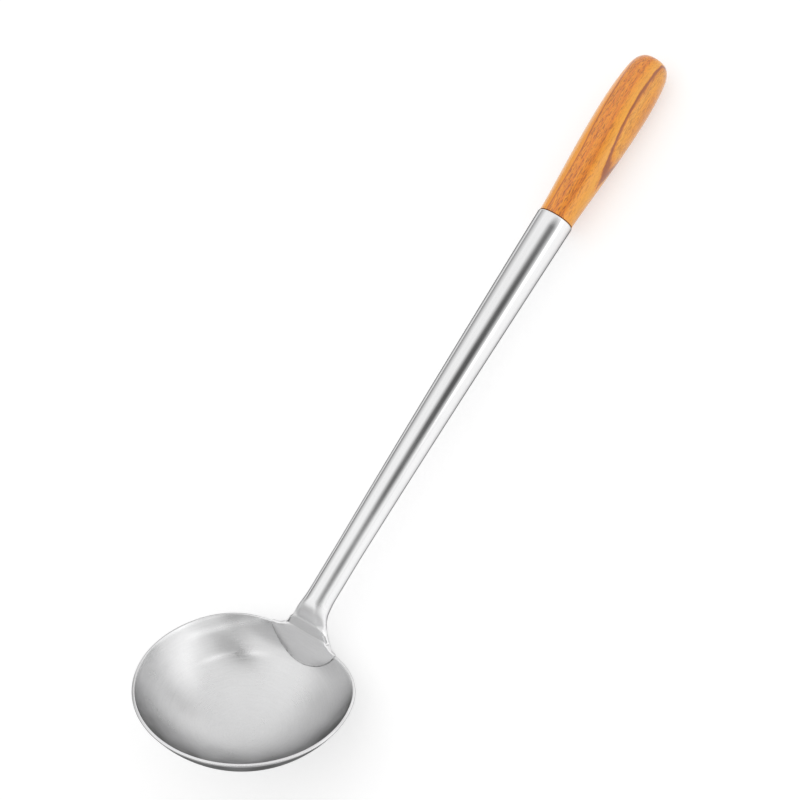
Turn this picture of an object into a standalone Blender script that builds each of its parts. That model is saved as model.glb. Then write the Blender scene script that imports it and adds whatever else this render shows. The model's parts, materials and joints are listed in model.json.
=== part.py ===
# Wok ladle: a pressed steel bowl, a tapered steel tube whose lower end is pressed flat and fanned
# out into a tongue lapped inside the bowl, and a turned wooden grip pinned into the tube's mouth.
#
# Everything is modelled in the bowl's own frame: the origin is the centre of the rim, +Z is the
# rim plane's normal and the handle leaves towards +X. An empty then tips that frame so that the
# ladle lies on its bowl and its grip, as it does on a worktop. Lengths are in metres.

import math

import bmesh
import bpy
import numpy as np

# Bowl
RIM_RADIUS = 0.0608
BOWL_DEPTH = 0.0353
BOWL_SHEET = 0.0018
RIM_ROUNDING = 0.0005
REST_FLAT_DEPTH = 0.0003

# Where the rim is pressed in beside the neck
PRESS_DEPTH = 0.0067
PRESS_FULL_ANGLE = math.radians(22.0)
PRESS_REACH_ANGLE = math.radians(62.0)
PRESS_FADE_HEIGHT = 0.014

# Tube: its stations are distances along the axis from the rim's own radius
TUBE_SHEET = 0.0010
TUBE_PITCH = math.radians(34.08)
TUBE_RISE = 0.02297
TUBE_LENGTH = 0.2506
TUBE_NECK_RADIUS = 0.00775
TUBE_MOUTH_RADIUS = 0.01081
TUBE_TAPER_START = 0.030
TUBE_SET = 0.0041
TUBE_SET_LENGTH = 0.283
MOUTH_CURL = 0.0004

# Neck: the stretch where the tube is pressed flat and turns down to the rim
NECK_PITCH = math.radians(80.0)
NECK_BEND_RADIUS = 0.008
NECK_FLAT_START = 0.0125
NECK_FLAT_LENGTH = 0.0198
NECK_FLAT_POWER = 0.8
NECK_THICKNESS = 0.0024
NECK_FLARE_START = 0.0055
BORE_END = 0.0025

# Tongue: half widths and heights over the rim plane
CREASE_HALF_WIDTH = 0.0138
CREASE_HEIGHT = 0.0035
TONGUE_CORNER_HALF_WIDTH = 0.0226
TONGUE_ARC_RADIUS = 0.0259
TONGUE_REACH = 0.0145
TONGUE_WAIST_HALF_WIDTH = 0.0152
TONGUE_WAIST_HEIGHT = 0.0010
TONGUE_END_THICKNESS = 0.0006
SHELF_STEP = 0.0003

# Grip
GRIP_LENGTH = 0.1078
GRIP_START_RADIUS = 0.01035
GRIP_MAX_RADIUS = 0.0135
GRIP_MAX_STATION = 0.0731
GRIP_SWELL_POWER = 1.3
GRIP_END_DROP = 0.0032
GRIP_END_LENGTH = 0.013
GRIP_END_FULLNESS = 2.9
GRIP_BUTT_RADIUS = 0.004
TENON_LENGTH = 0.045
TENON_CHAMFER = 0.0012

# Pin that holds the grip, on the tube's underside
PIN_RADIUS = 0.0011
PIN_HEAD_RADIUS = 0.0019
PIN_HEAD_HEIGHT = 0.0008
PIN_FROM_MOUTH = 0.014
PIN_DEPTH_IN_TENON = 0.006

# Weld beads
TONGUE_BEAD_RADIUS = 0.0005
NECK_BEAD_RADIUS = 0.0010
NECK_BEAD_HALF_WIDTH = 0.0135

# Gap left between pieces that touch on the real ladle
CLEARANCE = 0.0003

# Resolution
BOWL_STEPS = 72
BOWL_RINGS = 14
SIDE_SPANS = 18
GRIP_STEPS = 36
CURVE_SIDES = 2

SPHERE_RADIUS = (RIM_RADIUS**2 + BOWL_DEPTH**2) / (2 * BOWL_DEPTH)
SPHERE_HEIGHT = SPHERE_RADIUS - BOWL_DEPTH
RIM_ANGLE = math.asin(RIM_RADIUS / SPHERE_RADIUS)
MOUTH_ROLL = TUBE_SHEET + MOUTH_CURL
LIP_HOLE_RADIUS = TUBE_MOUTH_RADIUS - MOUTH_ROLL
TENON_RADIUS = LIP_HOLE_RADIUS - CLEARANCE
TONGUE_LIFT = BOWL_SHEET + CLEARANCE

# The rim's edge face stands square to the wall, so its inner corner is higher than the rim plane
SHELF_HEIGHT = BOWL_SHEET * math.cos(RIM_ANGLE) + CLEARANCE


def smooth(value):
    """0 below 0, 1 above 1, and an even S between them."""
    value = np.clip(value, 0.0, 1.0)
    return value * value * (3.0 - 2.0 * value)


# Bowl surface


def press(azimuth, height):
    """How far the wall is pushed in, from the azimuth off the handle and the height over the rim."""
    reach = (PRESS_REACH_ANGLE - np.abs(azimuth)) / (PRESS_REACH_ANGLE - PRESS_FULL_ANGLE)
    reach = np.maximum(reach, 0.0)
    share = reach**2 / (1.0 + reach**10) ** 0.2
    return PRESS_DEPTH * share * smooth(1.0 + height / PRESS_FADE_HEIGHT)


def ball_radius(height):
    return np.sqrt(SPHERE_RADIUS**2 - (height - SPHERE_HEIGHT) ** 2)


def outer_wall(y, z):
    """x of the bowl's outer surface on the handle's side."""
    x = np.sqrt(ball_radius(z) ** 2 - y**2)
    for _ in range(8):
        radius = ball_radius(z) - press(np.arctan2(y, x), z)
        x = np.sqrt(radius**2 - y**2)
    return x


def inward(y, z):
    """Unit normal of the outer surface, pointing into the bowl."""
    step = 1e-5
    slope_y = (outer_wall(y + step, z) - outer_wall(y - step, z)) / (2 * step)
    slope_z = (outer_wall(y, z + step) - outer_wall(y, z - step)) / (2 * step)
    normal = np.stack([-np.ones_like(slope_y), slope_y, slope_z], axis=-1)
    return normal / np.linalg.norm(normal, axis=-1, keepdims=True)


def under_skin(y, z, depth):
    """Points at this y and z that lie depth below the outer surface, or over it where negative."""
    y = np.asarray(y, float)
    z = np.asarray(z, float)
    foot_y, foot_z = y, z
    for _ in range(8):
        normal = inward(foot_y, foot_z)
        foot_y = y - depth * normal[..., 1]
        foot_z = z - depth * normal[..., 2]
    x = outer_wall(foot_y, foot_z) + depth * inward(foot_y, foot_z)[..., 0]
    return np.stack([x, y, z], axis=-1)


# Handle axis


def tube_axis(station):
    """Axis point: a straight line, with the lower end bent down a little by the set."""
    lower = np.maximum(0.0, 1.0 - station / TUBE_SET_LENGTH)
    drop = TUBE_SET * lower**3
    x = RIM_RADIUS + station * math.cos(TUBE_PITCH) + drop * math.sin(TUBE_PITCH)
    z = TUBE_RISE + station * math.sin(TUBE_PITCH) - drop * math.cos(TUBE_PITCH)
    return np.array([x, 0.0, z])


def tube_pitch(station):
    lower = np.maximum(0.0, 1.0 - station / TUBE_SET_LENGTH)
    return TUBE_PITCH + math.atan(3.0 * TUBE_SET / TUBE_SET_LENGTH * lower**2)


def tube_radius(station):
    share = (station - TUBE_TAPER_START) / (TUBE_LENGTH - TUBE_TAPER_START)
    share = np.clip(share, 0.0, 1.0)
    return TUBE_NECK_RADIUS + (TUBE_MOUTH_RADIUS - TUBE_NECK_RADIUS) * share


def direction(pitch):
    return np.array([math.cos(pitch), 0.0, math.sin(pitch)])


def upright(pitch):
    """Square to direction(pitch), on the side that faces up from the handle."""
    return np.array([-math.sin(pitch), 0.0, math.cos(pitch)])


def neck_layout():
    """Foot and corner of the neck's path, and the corner's distance from the tube's station 0."""
    foot = under_skin(0.0, CREASE_HEIGHT, TONGUE_LIFT + TUBE_SHEET - NECK_THICKNESS / 2)
    start = tube_axis(0.0)
    down, along = direction(NECK_PITCH), direction(tube_pitch(0.0))
    sides = np.array([[down[0], -along[0]], [down[2], -along[2]]])
    rise, back = np.linalg.solve(sides, [start[0] - foot[0], start[2] - foot[2]])
    return foot, foot + rise * down, -back


def neck_path(distance):
    """Point and pitch on the path, by distance from the corner: below it negative."""
    foot, corner, to_tube = neck_layout()
    upper = tube_pitch(0.0)
    turn = NECK_PITCH - upper
    reach = NECK_BEND_RADIUS * math.tan(turn / 2)
    if distance >= to_tube:
        return tube_axis(distance - to_tube), tube_pitch(distance - to_tube)
    if distance >= reach:
        return corner + distance * direction(upper), upper
    if distance <= -reach:
        return corner + distance * direction(NECK_PITCH), NECK_PITCH
    swept = (reach - distance) / (2 * reach) * turn
    centre = corner + reach * direction(upper) - NECK_BEND_RADIUS * upright(upper)
    pitch = upper + swept
    return centre + NECK_BEND_RADIUS * upright(pitch), pitch


# Sections of the tube and tongue: each ring runs over the top from -Y to +Y and back underneath


def section(point, pitch, half_width, half_height, flatness):
    """One closed ring: round at flatness 0, and flat with rounded edges at flatness 1."""
    across = np.linspace(-1.0, 1.0, SIDE_SPANS + 1)
    spread = (1 - flatness) * np.sin(across * math.pi / 2) + flatness * across
    crown = (1 - flatness) * np.cos(across * math.pi / 2)
    crown = crown + flatness * np.sqrt(np.clip(1.0 - across**8, 0.0, 1.0))
    crown[0] = crown[-1] = 0.0
    side = np.array([0.0, 1.0, 0.0])
    top = point + half_width * spread[:, None] * side + half_height * crown[:, None] * upright(pitch)
    under = point + half_width * spread[:, None] * side - half_height * crown[:, None] * upright(pitch)
    return np.concatenate([top, under[-2:0:-1]])


def neck_section(distance, inset=0.0):
    point, pitch = neck_path(distance)
    to_tube = neck_layout()[2]
    radius = tube_radius(distance - to_tube)
    flat = NECK_THICKNESS / 2
    open_share = np.clip((distance - NECK_FLAT_START + NECK_FLAT_LENGTH) / NECK_FLAT_LENGTH, 0.0, 1.0)
    opened = math.sin(open_share * math.pi / 2) ** NECK_FLAT_POWER
    half_height = flat + (radius - flat) * opened
    spread = 1.0 + (math.pi / math.sqrt(8.0) - 1.0) * (1.0 - opened) ** 2
    half_width = math.sqrt(2 * radius**2 - half_height**2) * spread
    foot_distance = -np.linalg.norm(neck_layout()[1] - neck_layout()[0])
    flare = np.clip((-NECK_FLARE_START - distance) / (-NECK_FLARE_START - foot_distance), 0.0, 1.0)
    half_width += flare * (CREASE_HALF_WIDTH - half_width)
    flatness = (1.0 - opened) ** 2
    return section(point, pitch, half_width - inset, half_height - inset, flatness)


def curve(start, middle, end, share):
    """Point at this share of a curve that leaves start and reaches end, drawn towards middle."""
    return (1 - share) ** 2 * start + 2 * share * (1 - share) * middle + share**2 * end


def tongue_outline(across, down):
    """y and z on the tongue, from -1 to 1 across and 0 at the crease to 1 at the end arc."""
    centre = TONGUE_ARC_RADIUS - TONGUE_REACH
    corner_angle = math.asin(TONGUE_CORNER_HALF_WIDTH / TONGUE_ARC_RADIUS)
    corner_height = centre - TONGUE_ARC_RADIUS * math.cos(corner_angle)
    side_y = curve(CREASE_HALF_WIDTH, TONGUE_WAIST_HALF_WIDTH, TONGUE_CORNER_HALF_WIDTH, down)
    side_z = curve(CREASE_HEIGHT, TONGUE_WAIST_HEIGHT, corner_height, down)
    bow_y = side_y - (1 - down) * CREASE_HALF_WIDTH - down * TONGUE_CORNER_HALF_WIDTH
    bow_z = side_z - (1 - down) * CREASE_HEIGHT - down * corner_height
    end_y = TONGUE_ARC_RADIUS * np.sin(corner_angle * across)
    end_z = centre - TONGUE_ARC_RADIUS * np.cos(corner_angle * across)
    y = (1 - down) * CREASE_HALF_WIDTH * across + down * end_y + bow_y * across
    z = (1 - down) * CREASE_HEIGHT + down * end_z + bow_z * across**2
    return y, z


def tongue_face(y, z, depth):
    """Points on the bowl's skin at this depth, drawn flat across as they near the crease."""
    points = under_skin(y, z, depth)
    level = under_skin(np.full_like(y, 0.6 * CREASE_HALF_WIDTH), z, depth)
    flat_share = smooth(z / CREASE_HEIGHT)
    points[:, 0] = (1 - flat_share) * points[:, 0] + flat_share * level[:, 0]
    return points


def down_to_height(across, height):
    """How far down the tongue each column comes to this height."""
    low, high = np.zeros_like(across), np.ones_like(across)
    for _ in range(40):
        middle = (low + high) / 2
        above = tongue_outline(across, middle)[1] > height
        low = np.where(above, middle, low)
        high = np.where(above, high, middle)
    return (low + high) / 2


def outer_layer(inner):
    """The outer layer's face, from the inner layer's: further out, along the rim's edge face."""
    extra = (NECK_THICKNESS - TUBE_SHEET) * math.sin(RIM_ANGLE)
    return inner + extra * np.array([math.sin(RIM_ANGLE), 0.0, -math.cos(RIM_ANGLE)])


def tongue_section(across, down, doubled):
    """One ring of the tongue: two layers thick over the rim's edge face, and one inside the bowl."""
    y, z = tongue_outline(across, down)
    thickness = TUBE_SHEET + (TONGUE_END_THICKNESS - TUBE_SHEET) * smooth((down - 0.6) / 0.4)
    top = tongue_face(y, z, TONGUE_LIFT + thickness)
    under = tongue_face(y, z, TONGUE_LIFT)
    if doubled:
        under = outer_layer(under)
    top[[0, -1]] = (top[[0, -1]] + under[[0, -1]]) / 2
    return np.concatenate([top, under[-2:0:-1]])


def tongue_rings():
    across = np.linspace(-1.0, 1.0, SIDE_SPANS + 1)
    shelf = down_to_height(across, SHELF_HEIGHT + SHELF_STEP)
    seat = down_to_height(across, SHELF_HEIGHT)
    rings = [tongue_section(across, shelf * share, True) for share in np.linspace(0.0, 1.0, 4)]
    inside = np.linspace(0.0, 1.0, 10)
    rings += [tongue_section(across, seat + (1.0 - seat) * share, False) for share in inside]
    return rings


def tube_rings():
    """Rings from the bore's blind end, out over the mouth's rolled lip, and down to the tongue."""
    foot, corner, to_tube = neck_layout()
    foot_distance = -np.linalg.norm(corner - foot)
    mouth = to_tube + TUBE_LENGTH
    tube_stations = np.linspace(NECK_FLAT_START, mouth - MOUTH_ROLL, 12)
    neck_stations = np.linspace(foot_distance, NECK_FLAT_START, 17)[1:-1]
    inner_neck = neck_stations[neck_stations > -BORE_END]
    rings = [neck_section(s, TUBE_SHEET) for s in inner_neck]
    rings += [neck_section(s, TUBE_SHEET) for s in tube_stations]
    point, pitch = neck_path(mouth)
    for back in (MOUTH_ROLL - MOUTH_CURL, MOUTH_ROLL / 3):
        rings.append(
            section(point - back * direction(pitch), pitch, LIP_HOLE_RADIUS, LIP_HOLE_RADIUS, 0.0)
        )
    for turn in np.radians([0.0, 30.0, 60.0]):
        back = MOUTH_ROLL * (1.0 - math.cos(turn))
        radius = LIP_HOLE_RADIUS + MOUTH_ROLL * math.sin(turn)
        rings.append(section(point - back * direction(pitch), pitch, radius, radius, 0.0))
    rings += [neck_section(s) for s in tube_stations[::-1]]
    rings += [neck_section(s) for s in neck_stations[::-1]]
    rings += tongue_rings()
    return rings


# Grip profile


def grip_radius(station):
    """Radius by distance from the mouth: a swell, a slow fall, and a rounded end."""
    station = np.asarray(station, float)
    before = np.sin(np.clip(station / GRIP_MAX_STATION, 0.0, 1.0) * math.pi / 2) ** GRIP_SWELL_POWER
    radius = GRIP_START_RADIUS + (GRIP_MAX_RADIUS - GRIP_START_RADIUS) * before
    past = np.clip((station - GRIP_MAX_STATION) / (GRIP_LENGTH - GRIP_MAX_STATION), 0.0, 1.0)
    radius = radius - GRIP_END_DROP * past**2
    end = np.clip((station - GRIP_LENGTH + GRIP_END_LENGTH) / GRIP_END_LENGTH, 0.0, 1.0)
    return radius * (1.0 - end**GRIP_END_FULLNESS) ** 0.25


def grip_outline():
    """(radius, station) from the butt's centre down to the tenon's end."""
    body = np.linspace(CLEARANCE, GRIP_LENGTH - GRIP_END_LENGTH, 14)
    turn = np.linspace(0.0, 1.0, 11)[1:-1]
    bend = np.sin(turn * math.pi / 2) ** (2.0 / GRIP_END_FULLNESS)
    end = GRIP_LENGTH - GRIP_END_LENGTH * (1.0 - bend)
    bore_at_end = tube_radius(TUBE_LENGTH - TENON_LENGTH) - TUBE_SHEET
    tenon_end = min(TENON_RADIUS, bore_at_end - CLEARANCE)
    outline = [(0.0, GRIP_LENGTH), (GRIP_BUTT_RADIUS, GRIP_LENGTH)]
    outline += [(float(grip_radius(s)), float(s)) for s in end[::-1] if grip_radius(s) > GRIP_BUTT_RADIUS]
    outline += [(float(grip_radius(s)), float(s)) for s in body[::-1]]
    outline += [
        (TENON_RADIUS, CLEARANCE),
        (tenon_end, TENON_CHAMFER - TENON_LENGTH),
        (tenon_end - TENON_CHAMFER, -TENON_LENGTH),
        (0.0, -TENON_LENGTH),
    ]
    return outline


# How the ladle lies


def lowest_handle_point(tilt):
    """Lowest point of the grip and of the tube's mouth once the bowl's frame is tipped by tilt."""
    pitch = tube_pitch(TUBE_LENGTH)
    stations = np.linspace(0.0, GRIP_LENGTH, 108)
    centres = tube_axis(TUBE_LENGTH) + stations[:, None] * direction(pitch)
    heights = centres[:, 2] * math.cos(tilt) - centres[:, 0] * math.sin(tilt)
    lowest_grip = (heights - grip_radius(stations) * math.cos(pitch - tilt)).min()
    return min(lowest_grip, heights[0] - TUBE_MOUTH_RADIUS * math.cos(pitch - tilt))


def resting_tilt():
    """The tilt at which the bowl's flat and the handle reach down equally far."""
    low, high = math.radians(5.0), math.radians(70.0)
    for _ in range(60):
        middle = (low + high) / 2
        bowl = SPHERE_HEIGHT * math.cos(middle) - SPHERE_RADIUS + REST_FLAT_DEPTH
        if lowest_handle_point(middle) > bowl:
            low = middle
        else:
            high = middle
    return (low + high) / 2


def resting_place(tilt):
    """Where the bowl's frame goes, so that the whole stands over the origin on Z = 0."""
    angles = np.linspace(0.0, RIM_ANGLE, 200)
    x = -SPHERE_RADIUS * np.sin(angles)
    z = SPHERE_HEIGHT - SPHERE_RADIUS * np.cos(angles)
    left = (x * math.cos(tilt) + z * math.sin(tilt)).min()
    pitch = tube_pitch(TUBE_LENGTH)
    butt = tube_axis(TUBE_LENGTH) + GRIP_LENGTH * direction(pitch)
    reach = butt[0] * math.cos(tilt) + butt[2] * math.sin(tilt)
    right = reach + GRIP_BUTT_RADIUS * abs(math.sin(pitch - tilt))
    bowl = SPHERE_HEIGHT * math.cos(tilt) - SPHERE_RADIUS + REST_FLAT_DEPTH
    return -(left + right) / 2, -bowl


# Building blocks


def clear_scene():
    for item in list(bpy.data.objects):
        bpy.data.objects.remove(item, do_unlink=True)


def collection(name):
    made = bpy.data.collections.new(name)
    bpy.context.scene.collection.children.link(made)
    return made


def material(name, colour, roughness, metallic):
    made = bpy.data.materials.new(name)
    made.use_nodes = True
    shader = made.node_tree.nodes["Principled BSDF"]
    shader.inputs["Base Color"].default_value = (*colour, 1.0)
    shader.inputs["Roughness"].default_value = roughness
    shader.inputs["Metallic"].default_value = metallic
    return made


def add_object(name, mesh, parts, frame, finish=None):
    item = bpy.data.objects.new(name, mesh)
    parts.objects.link(item)
    item.parent = frame
    if finish:
        mesh.materials.append(finish)
    return item


def baked_mesh(item):
    """The object's evaluated mesh as a mesh of its own, with doubled points merged."""
    graph = bpy.context.evaluated_depsgraph_get()
    mesh = bpy.data.meshes.new_from_object(item.evaluated_get(graph))
    work = bmesh.new()
    work.from_mesh(mesh)
    bmesh.ops.remove_doubles(work, verts=work.verts, dist=1e-6)
    work.to_mesh(mesh)
    work.free()
    return mesh


def screw(item, steps):
    turned = item.modifiers.new("Turned", "SCREW")
    turned.axis = "Z"
    turned.steps = steps
    turned.render_steps = steps
    turned.use_merge_vertices = True
    turned.merge_threshold = 0.00001
    turned.use_smooth_shade = False


def profile_mesh(name, outline):
    """A line of points (radius, height) in the XZ plane."""
    mesh = bpy.data.meshes.new(name)
    points = [(radius, 0.0, height) for radius, height in outline]
    mesh.from_pydata(points, [(i, i + 1) for i in range(len(points) - 1)], [])
    return mesh


def smooth_shading(mesh, degrees=35.0):
    mesh.shade_smooth()
    mesh.set_sharp_from_angle(angle=math.radians(degrees))


def cut(item, cutter, name):
    boolean = item.modifiers.new(name, "BOOLEAN")
    boolean.operation = "DIFFERENCE"
    boolean.object = cutter
    boolean.solver = "EXACT"


def hide_cutter(cutter):
    cutter.hide_render = True
    cutter.display_type = "WIRE"


def axis_rotation(pitch):
    """Rotation that turns an object's +Z along the handle's direction."""
    return (0.0, math.pi / 2 - pitch, 0.0)


# Sub-parts


def make_bowl(parts, cutters, frame, tilt):
    angles = np.linspace(RIM_ANGLE, 0.0, BOWL_RINGS + 1)
    outline = [
        (SPHERE_RADIUS * math.sin(a), SPHERE_HEIGHT - SPHERE_RADIUS * math.cos(a)) for a in angles
    ]
    turned = add_object("bowl_profile", profile_mesh("bowl_profile", outline), parts, frame)
    screw(turned, BOWL_STEPS)
    mesh = baked_mesh(turned)
    bpy.data.objects.remove(turned, do_unlink=True)
    for vertex in mesh.vertices:
        x, y, z = vertex.co
        radius = math.hypot(x, y)
        if radius > 0.0:
            pressed = 1.0 - press(math.atan2(y, x), z) / radius
            vertex.co = (x * pressed, y * pressed, z)
    bowl = add_object("bowl", mesh, parts, frame, material("bowl_steel", (0.66, 0.66, 0.67), 0.32, 1.0))
    smooth_shading(mesh)
    shell = bowl.modifiers.new("Sheet", "SOLIDIFY")
    shell.thickness = BOWL_SHEET
    shell.offset = -1.0
    shell.use_even_offset = True
    lip = bowl.modifiers.new("Rim rounding", "BEVEL")
    lip.width = RIM_ROUNDING
    lip.segments = 2
    lip.limit_method = "ANGLE"
    lip.angle_limit = math.radians(50.0)

    bpy.ops.mesh.primitive_cube_add(size=1.0)
    cutter = bpy.context.object
    cutter.name = "rest_flat_cutter"
    for holder in list(cutter.users_collection):
        holder.objects.unlink(cutter)
    cutters.objects.link(cutter)
    block = 0.04
    cutter.scale = (block, block, block)
    cutter.parent = frame
    cutter.rotation_euler = (0.0, -tilt, 0.0)
    reach = SPHERE_RADIUS - REST_FLAT_DEPTH + block / 2
    cutter.location = (reach * math.sin(tilt), 0.0, SPHERE_HEIGHT - reach * math.cos(tilt))
    hide_cutter(cutter)
    cut(bowl, cutter, "Rest flat")
    return bowl


def make_tube(parts, frame):
    rings = tube_rings()
    count = len(rings[0])
    points = [tuple(point) for ring in rings for point in ring]
    faces = []
    for i in range(len(rings) - 1):
        for j in range(count):
            k = (j + 1) % count
            faces.append((i * count + j, (i + 1) * count + j, (i + 1) * count + k, i * count + k))
    faces.append(tuple(range(count)))
    last = (len(rings) - 1) * count
    for j in range(SIDE_SPANS):
        low = [last + j, last + j + 1]
        high = [last + (count - j - 1) % count, last + (count - j) % count]
        faces.append(tuple(dict.fromkeys([low[0], low[1], high[0], high[1]])))
    mesh = bpy.data.meshes.new("handle_tube")
    mesh.from_pydata(points, [], faces)
    work = bmesh.new()
    work.from_mesh(mesh)
    bmesh.ops.recalc_face_normals(work, faces=work.faces)
    work.to_mesh(mesh)
    work.free()
    smooth_shading(mesh)
    return add_object(
        "handle_tube", mesh, parts, frame, material("tube_steel", (0.70, 0.70, 0.71), 0.25, 1.0)
    )


def make_grip(parts, frame):
    mesh = profile_mesh("grip", grip_outline())
    grip = add_object("grip", mesh, parts, frame, material("grip_wood", (0.70, 0.36, 0.10), 0.35, 0.0))
    screw(grip, GRIP_STEPS)
    grip.location = tube_axis(TUBE_LENGTH)
    grip.rotation_euler = axis_rotation(tube_pitch(TUBE_LENGTH))
    return grip


def make_pin(parts, cutters, frame, tube, grip):
    """The pin points from the tube's underside to its axis, and its +Z points out of the tube."""
    station = TUBE_LENGTH - PIN_FROM_MOUTH
    pitch = tube_pitch(station)
    surface = tube_radius(station)
    centre = tube_axis(station)
    outline = [
        (0.0, surface + CLEARANCE + PIN_HEAD_HEIGHT),
        (0.6 * PIN_HEAD_RADIUS, surface + CLEARANCE + PIN_HEAD_HEIGHT),
        (PIN_HEAD_RADIUS, surface + CLEARANCE + 0.5 * PIN_HEAD_HEIGHT),
        (PIN_HEAD_RADIUS, surface + CLEARANCE),
        (PIN_RADIUS, surface + CLEARANCE),
        (PIN_RADIUS, TENON_RADIUS - PIN_DEPTH_IN_TENON + PIN_RADIUS),
        (0.0, TENON_RADIUS - PIN_DEPTH_IN_TENON),
    ]
    steel = material("pin_steel", (0.60, 0.60, 0.61), 0.30, 1.0)
    pin = add_object("grip_pin", profile_mesh("grip_pin", outline), parts, frame, steel)
    screw(pin, 16)
    hole_radius = PIN_RADIUS + CLEARANCE
    hole_floor = TENON_RADIUS - PIN_DEPTH_IN_TENON - CLEARANCE
    hole = [(0.0, 2 * surface), (hole_radius, 2 * surface), (hole_radius, hole_floor), (0.0, hole_floor)]
    cutter = add_object("pin_hole_cutter", profile_mesh("pin_hole_cutter", hole), cutters, frame)
    screw(cutter, 16)
    for item in (pin, cutter):
        item.location = centre
        item.rotation_euler = (0.0, math.pi - pitch, 0.0)
    hide_cutter(cutter)
    cut(tube, cutter, "Pin hole")
    cut(grip, cutter, "Pin hole")
    return pin


def bead(name, points, radius, parts, frame, finish):
    curve = bpy.data.curves.new(name, "CURVE")
    curve.dimensions = "3D"
    curve.bevel_depth = radius
    curve.bevel_resolution = CURVE_SIDES
    curve.use_fill_caps = True
    spline = curve.splines.new("POLY")
    spline.points.add(len(points) - 1)
    for slot, point in zip(spline.points, points):
        slot.co = (*point, 1.0)
    return add_object(name, curve, parts, frame, finish)


def make_welds(parts, frame):
    steel = material("weld_steel", (0.55, 0.55, 0.56), 0.40, 1.0)
    across = np.linspace(-0.95, 0.95, 37)
    beyond = TONGUE_ARC_RADIUS + CLEARANCE + TONGUE_BEAD_RADIUS
    centre = TONGUE_ARC_RADIUS - TONGUE_REACH
    angle = math.asin(TONGUE_CORNER_HALF_WIDTH / TONGUE_ARC_RADIUS) * across
    y, z = beyond * np.sin(angle), centre - beyond * np.cos(angle)
    points = under_skin(y, z, BOWL_SHEET + CLEARANCE + TONGUE_BEAD_RADIUS)
    bead("tongue_weld", points, TONGUE_BEAD_RADIUS, parts, frame, steel)
    y = np.linspace(-NECK_BEAD_HALF_WIDTH, NECK_BEAD_HALF_WIDTH, 17)
    layer_depth = TONGUE_LIFT + (TUBE_SHEET - NECK_THICKNESS) * math.sin(RIM_ANGLE)
    depth = layer_depth - CLEARANCE - NECK_BEAD_RADIUS
    over_rim = CLEARANCE + NECK_BEAD_RADIUS
    height = over_rim * math.sin(RIM_ANGLE) + depth * math.cos(RIM_ANGLE)
    points = under_skin(y, np.full_like(y, height), depth)
    layer = outer_layer(tongue_face(y, np.full_like(y, height + NECK_BEAD_RADIUS), TONGUE_LIFT))
    points[:, 0] = np.maximum(points[:, 0], layer[:, 0] + CLEARANCE + NECK_BEAD_RADIUS)
    bead("neck_weld", points, NECK_BEAD_RADIUS, parts, frame, steel)


def build():
    clear_scene()
    parts = collection("wok_ladle")
    cutters = collection("cutters")
    frame = bpy.data.objects.new("bowl_frame", None)
    parts.objects.link(frame)
    tilt = resting_tilt()
    shift, lift = resting_place(tilt)
    frame.rotation_euler = (0.0, tilt, 0.0)
    frame.location = (shift, 0.0, lift)
    make_bowl(parts, cutters, frame, tilt)
    tube = make_tube(parts, frame)
    grip = make_grip(parts, frame)
    make_pin(parts, cutters, frame, tube, grip)
    make_welds(parts, frame)
    bpy.context.view_layer.update()
    print("tilt", round(math.degrees(tilt), 3), "frame at", round(shift, 6), round(lift, 6))


build()
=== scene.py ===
import json
import math

import bpy
import numpy as np
from mathutils import Matrix, Vector


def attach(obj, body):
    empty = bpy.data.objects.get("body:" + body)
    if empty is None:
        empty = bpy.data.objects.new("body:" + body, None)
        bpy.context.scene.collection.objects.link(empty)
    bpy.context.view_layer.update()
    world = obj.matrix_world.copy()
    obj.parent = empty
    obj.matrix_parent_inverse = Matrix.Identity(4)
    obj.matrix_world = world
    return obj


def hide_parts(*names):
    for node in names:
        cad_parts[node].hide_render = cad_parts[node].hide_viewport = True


# Wok ladle: spun steel bowl, drawn steel tube pressed into a folded tongue, turned wooden grip.
# Shapes are worked out in the bowl's own frame, in metres: the origin is the middle of the rim, z is
# the rim's normal and x runs towards the handle. fromBowl() then lays them where the frame has them.

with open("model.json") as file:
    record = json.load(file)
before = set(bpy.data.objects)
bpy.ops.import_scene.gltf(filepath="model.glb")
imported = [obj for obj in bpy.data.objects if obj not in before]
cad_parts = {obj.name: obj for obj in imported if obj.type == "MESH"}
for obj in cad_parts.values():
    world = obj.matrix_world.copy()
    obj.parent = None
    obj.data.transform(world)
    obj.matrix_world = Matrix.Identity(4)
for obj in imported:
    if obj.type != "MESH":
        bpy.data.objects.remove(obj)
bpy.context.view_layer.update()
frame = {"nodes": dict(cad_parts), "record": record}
mounts = {m["name"]: m for m in frame["record"]["mounts"]}
print("frame loaded:", len(frame["nodes"]), "nodes")

acrossWay = np.array([0.0, 1.0, 0.0])


# Helpers
# v, kept between 0 and 1
def held(v):
    return np.clip(v, 0.0, 1.0)


# 0 below 0, 1 above 1, and 3v^2 - 2v^3 between them
def smooth(v):
    v = held(v)
    return v * v * (3.0 - 2.0 * v)


# a at share 0, b at share 1, and straight between them
def mix(a, b, share):
    return a + (b - a) * share


# Vectors divided by their lengths
def unit(v):
    return v / np.linalg.norm(v, axis=-1, keepdims=True)


# Points by linear steps between given ones
def atEach(wanted, given, points):
    return stacked(*[np.interp(wanted, given, points[:, k]) for k in range(3)])


def join(*parts):
    return np.concatenate(parts)


def stacked(*parts):
    return np.stack(parts, axis=-1)


def evenly(count, last=1.0):
    return np.linspace(0.0, last, count)


def wholeTurn(count):
    return np.linspace(0.0, 2 * math.pi, count, endpoint=False)


# Unit vectors (cos pitch, 0, sin pitch)
def along(pitch):
    pitch = np.asarray(pitch, float)
    return stacked(np.cos(pitch), 0.0 * pitch, np.sin(pitch))


# Unit vectors square to along(pitch), on the side that faces up
def upright(pitch):
    pitch = np.asarray(pitch, float)
    return stacked(-np.sin(pitch), 0.0 * pitch, np.cos(pitch))


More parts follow.
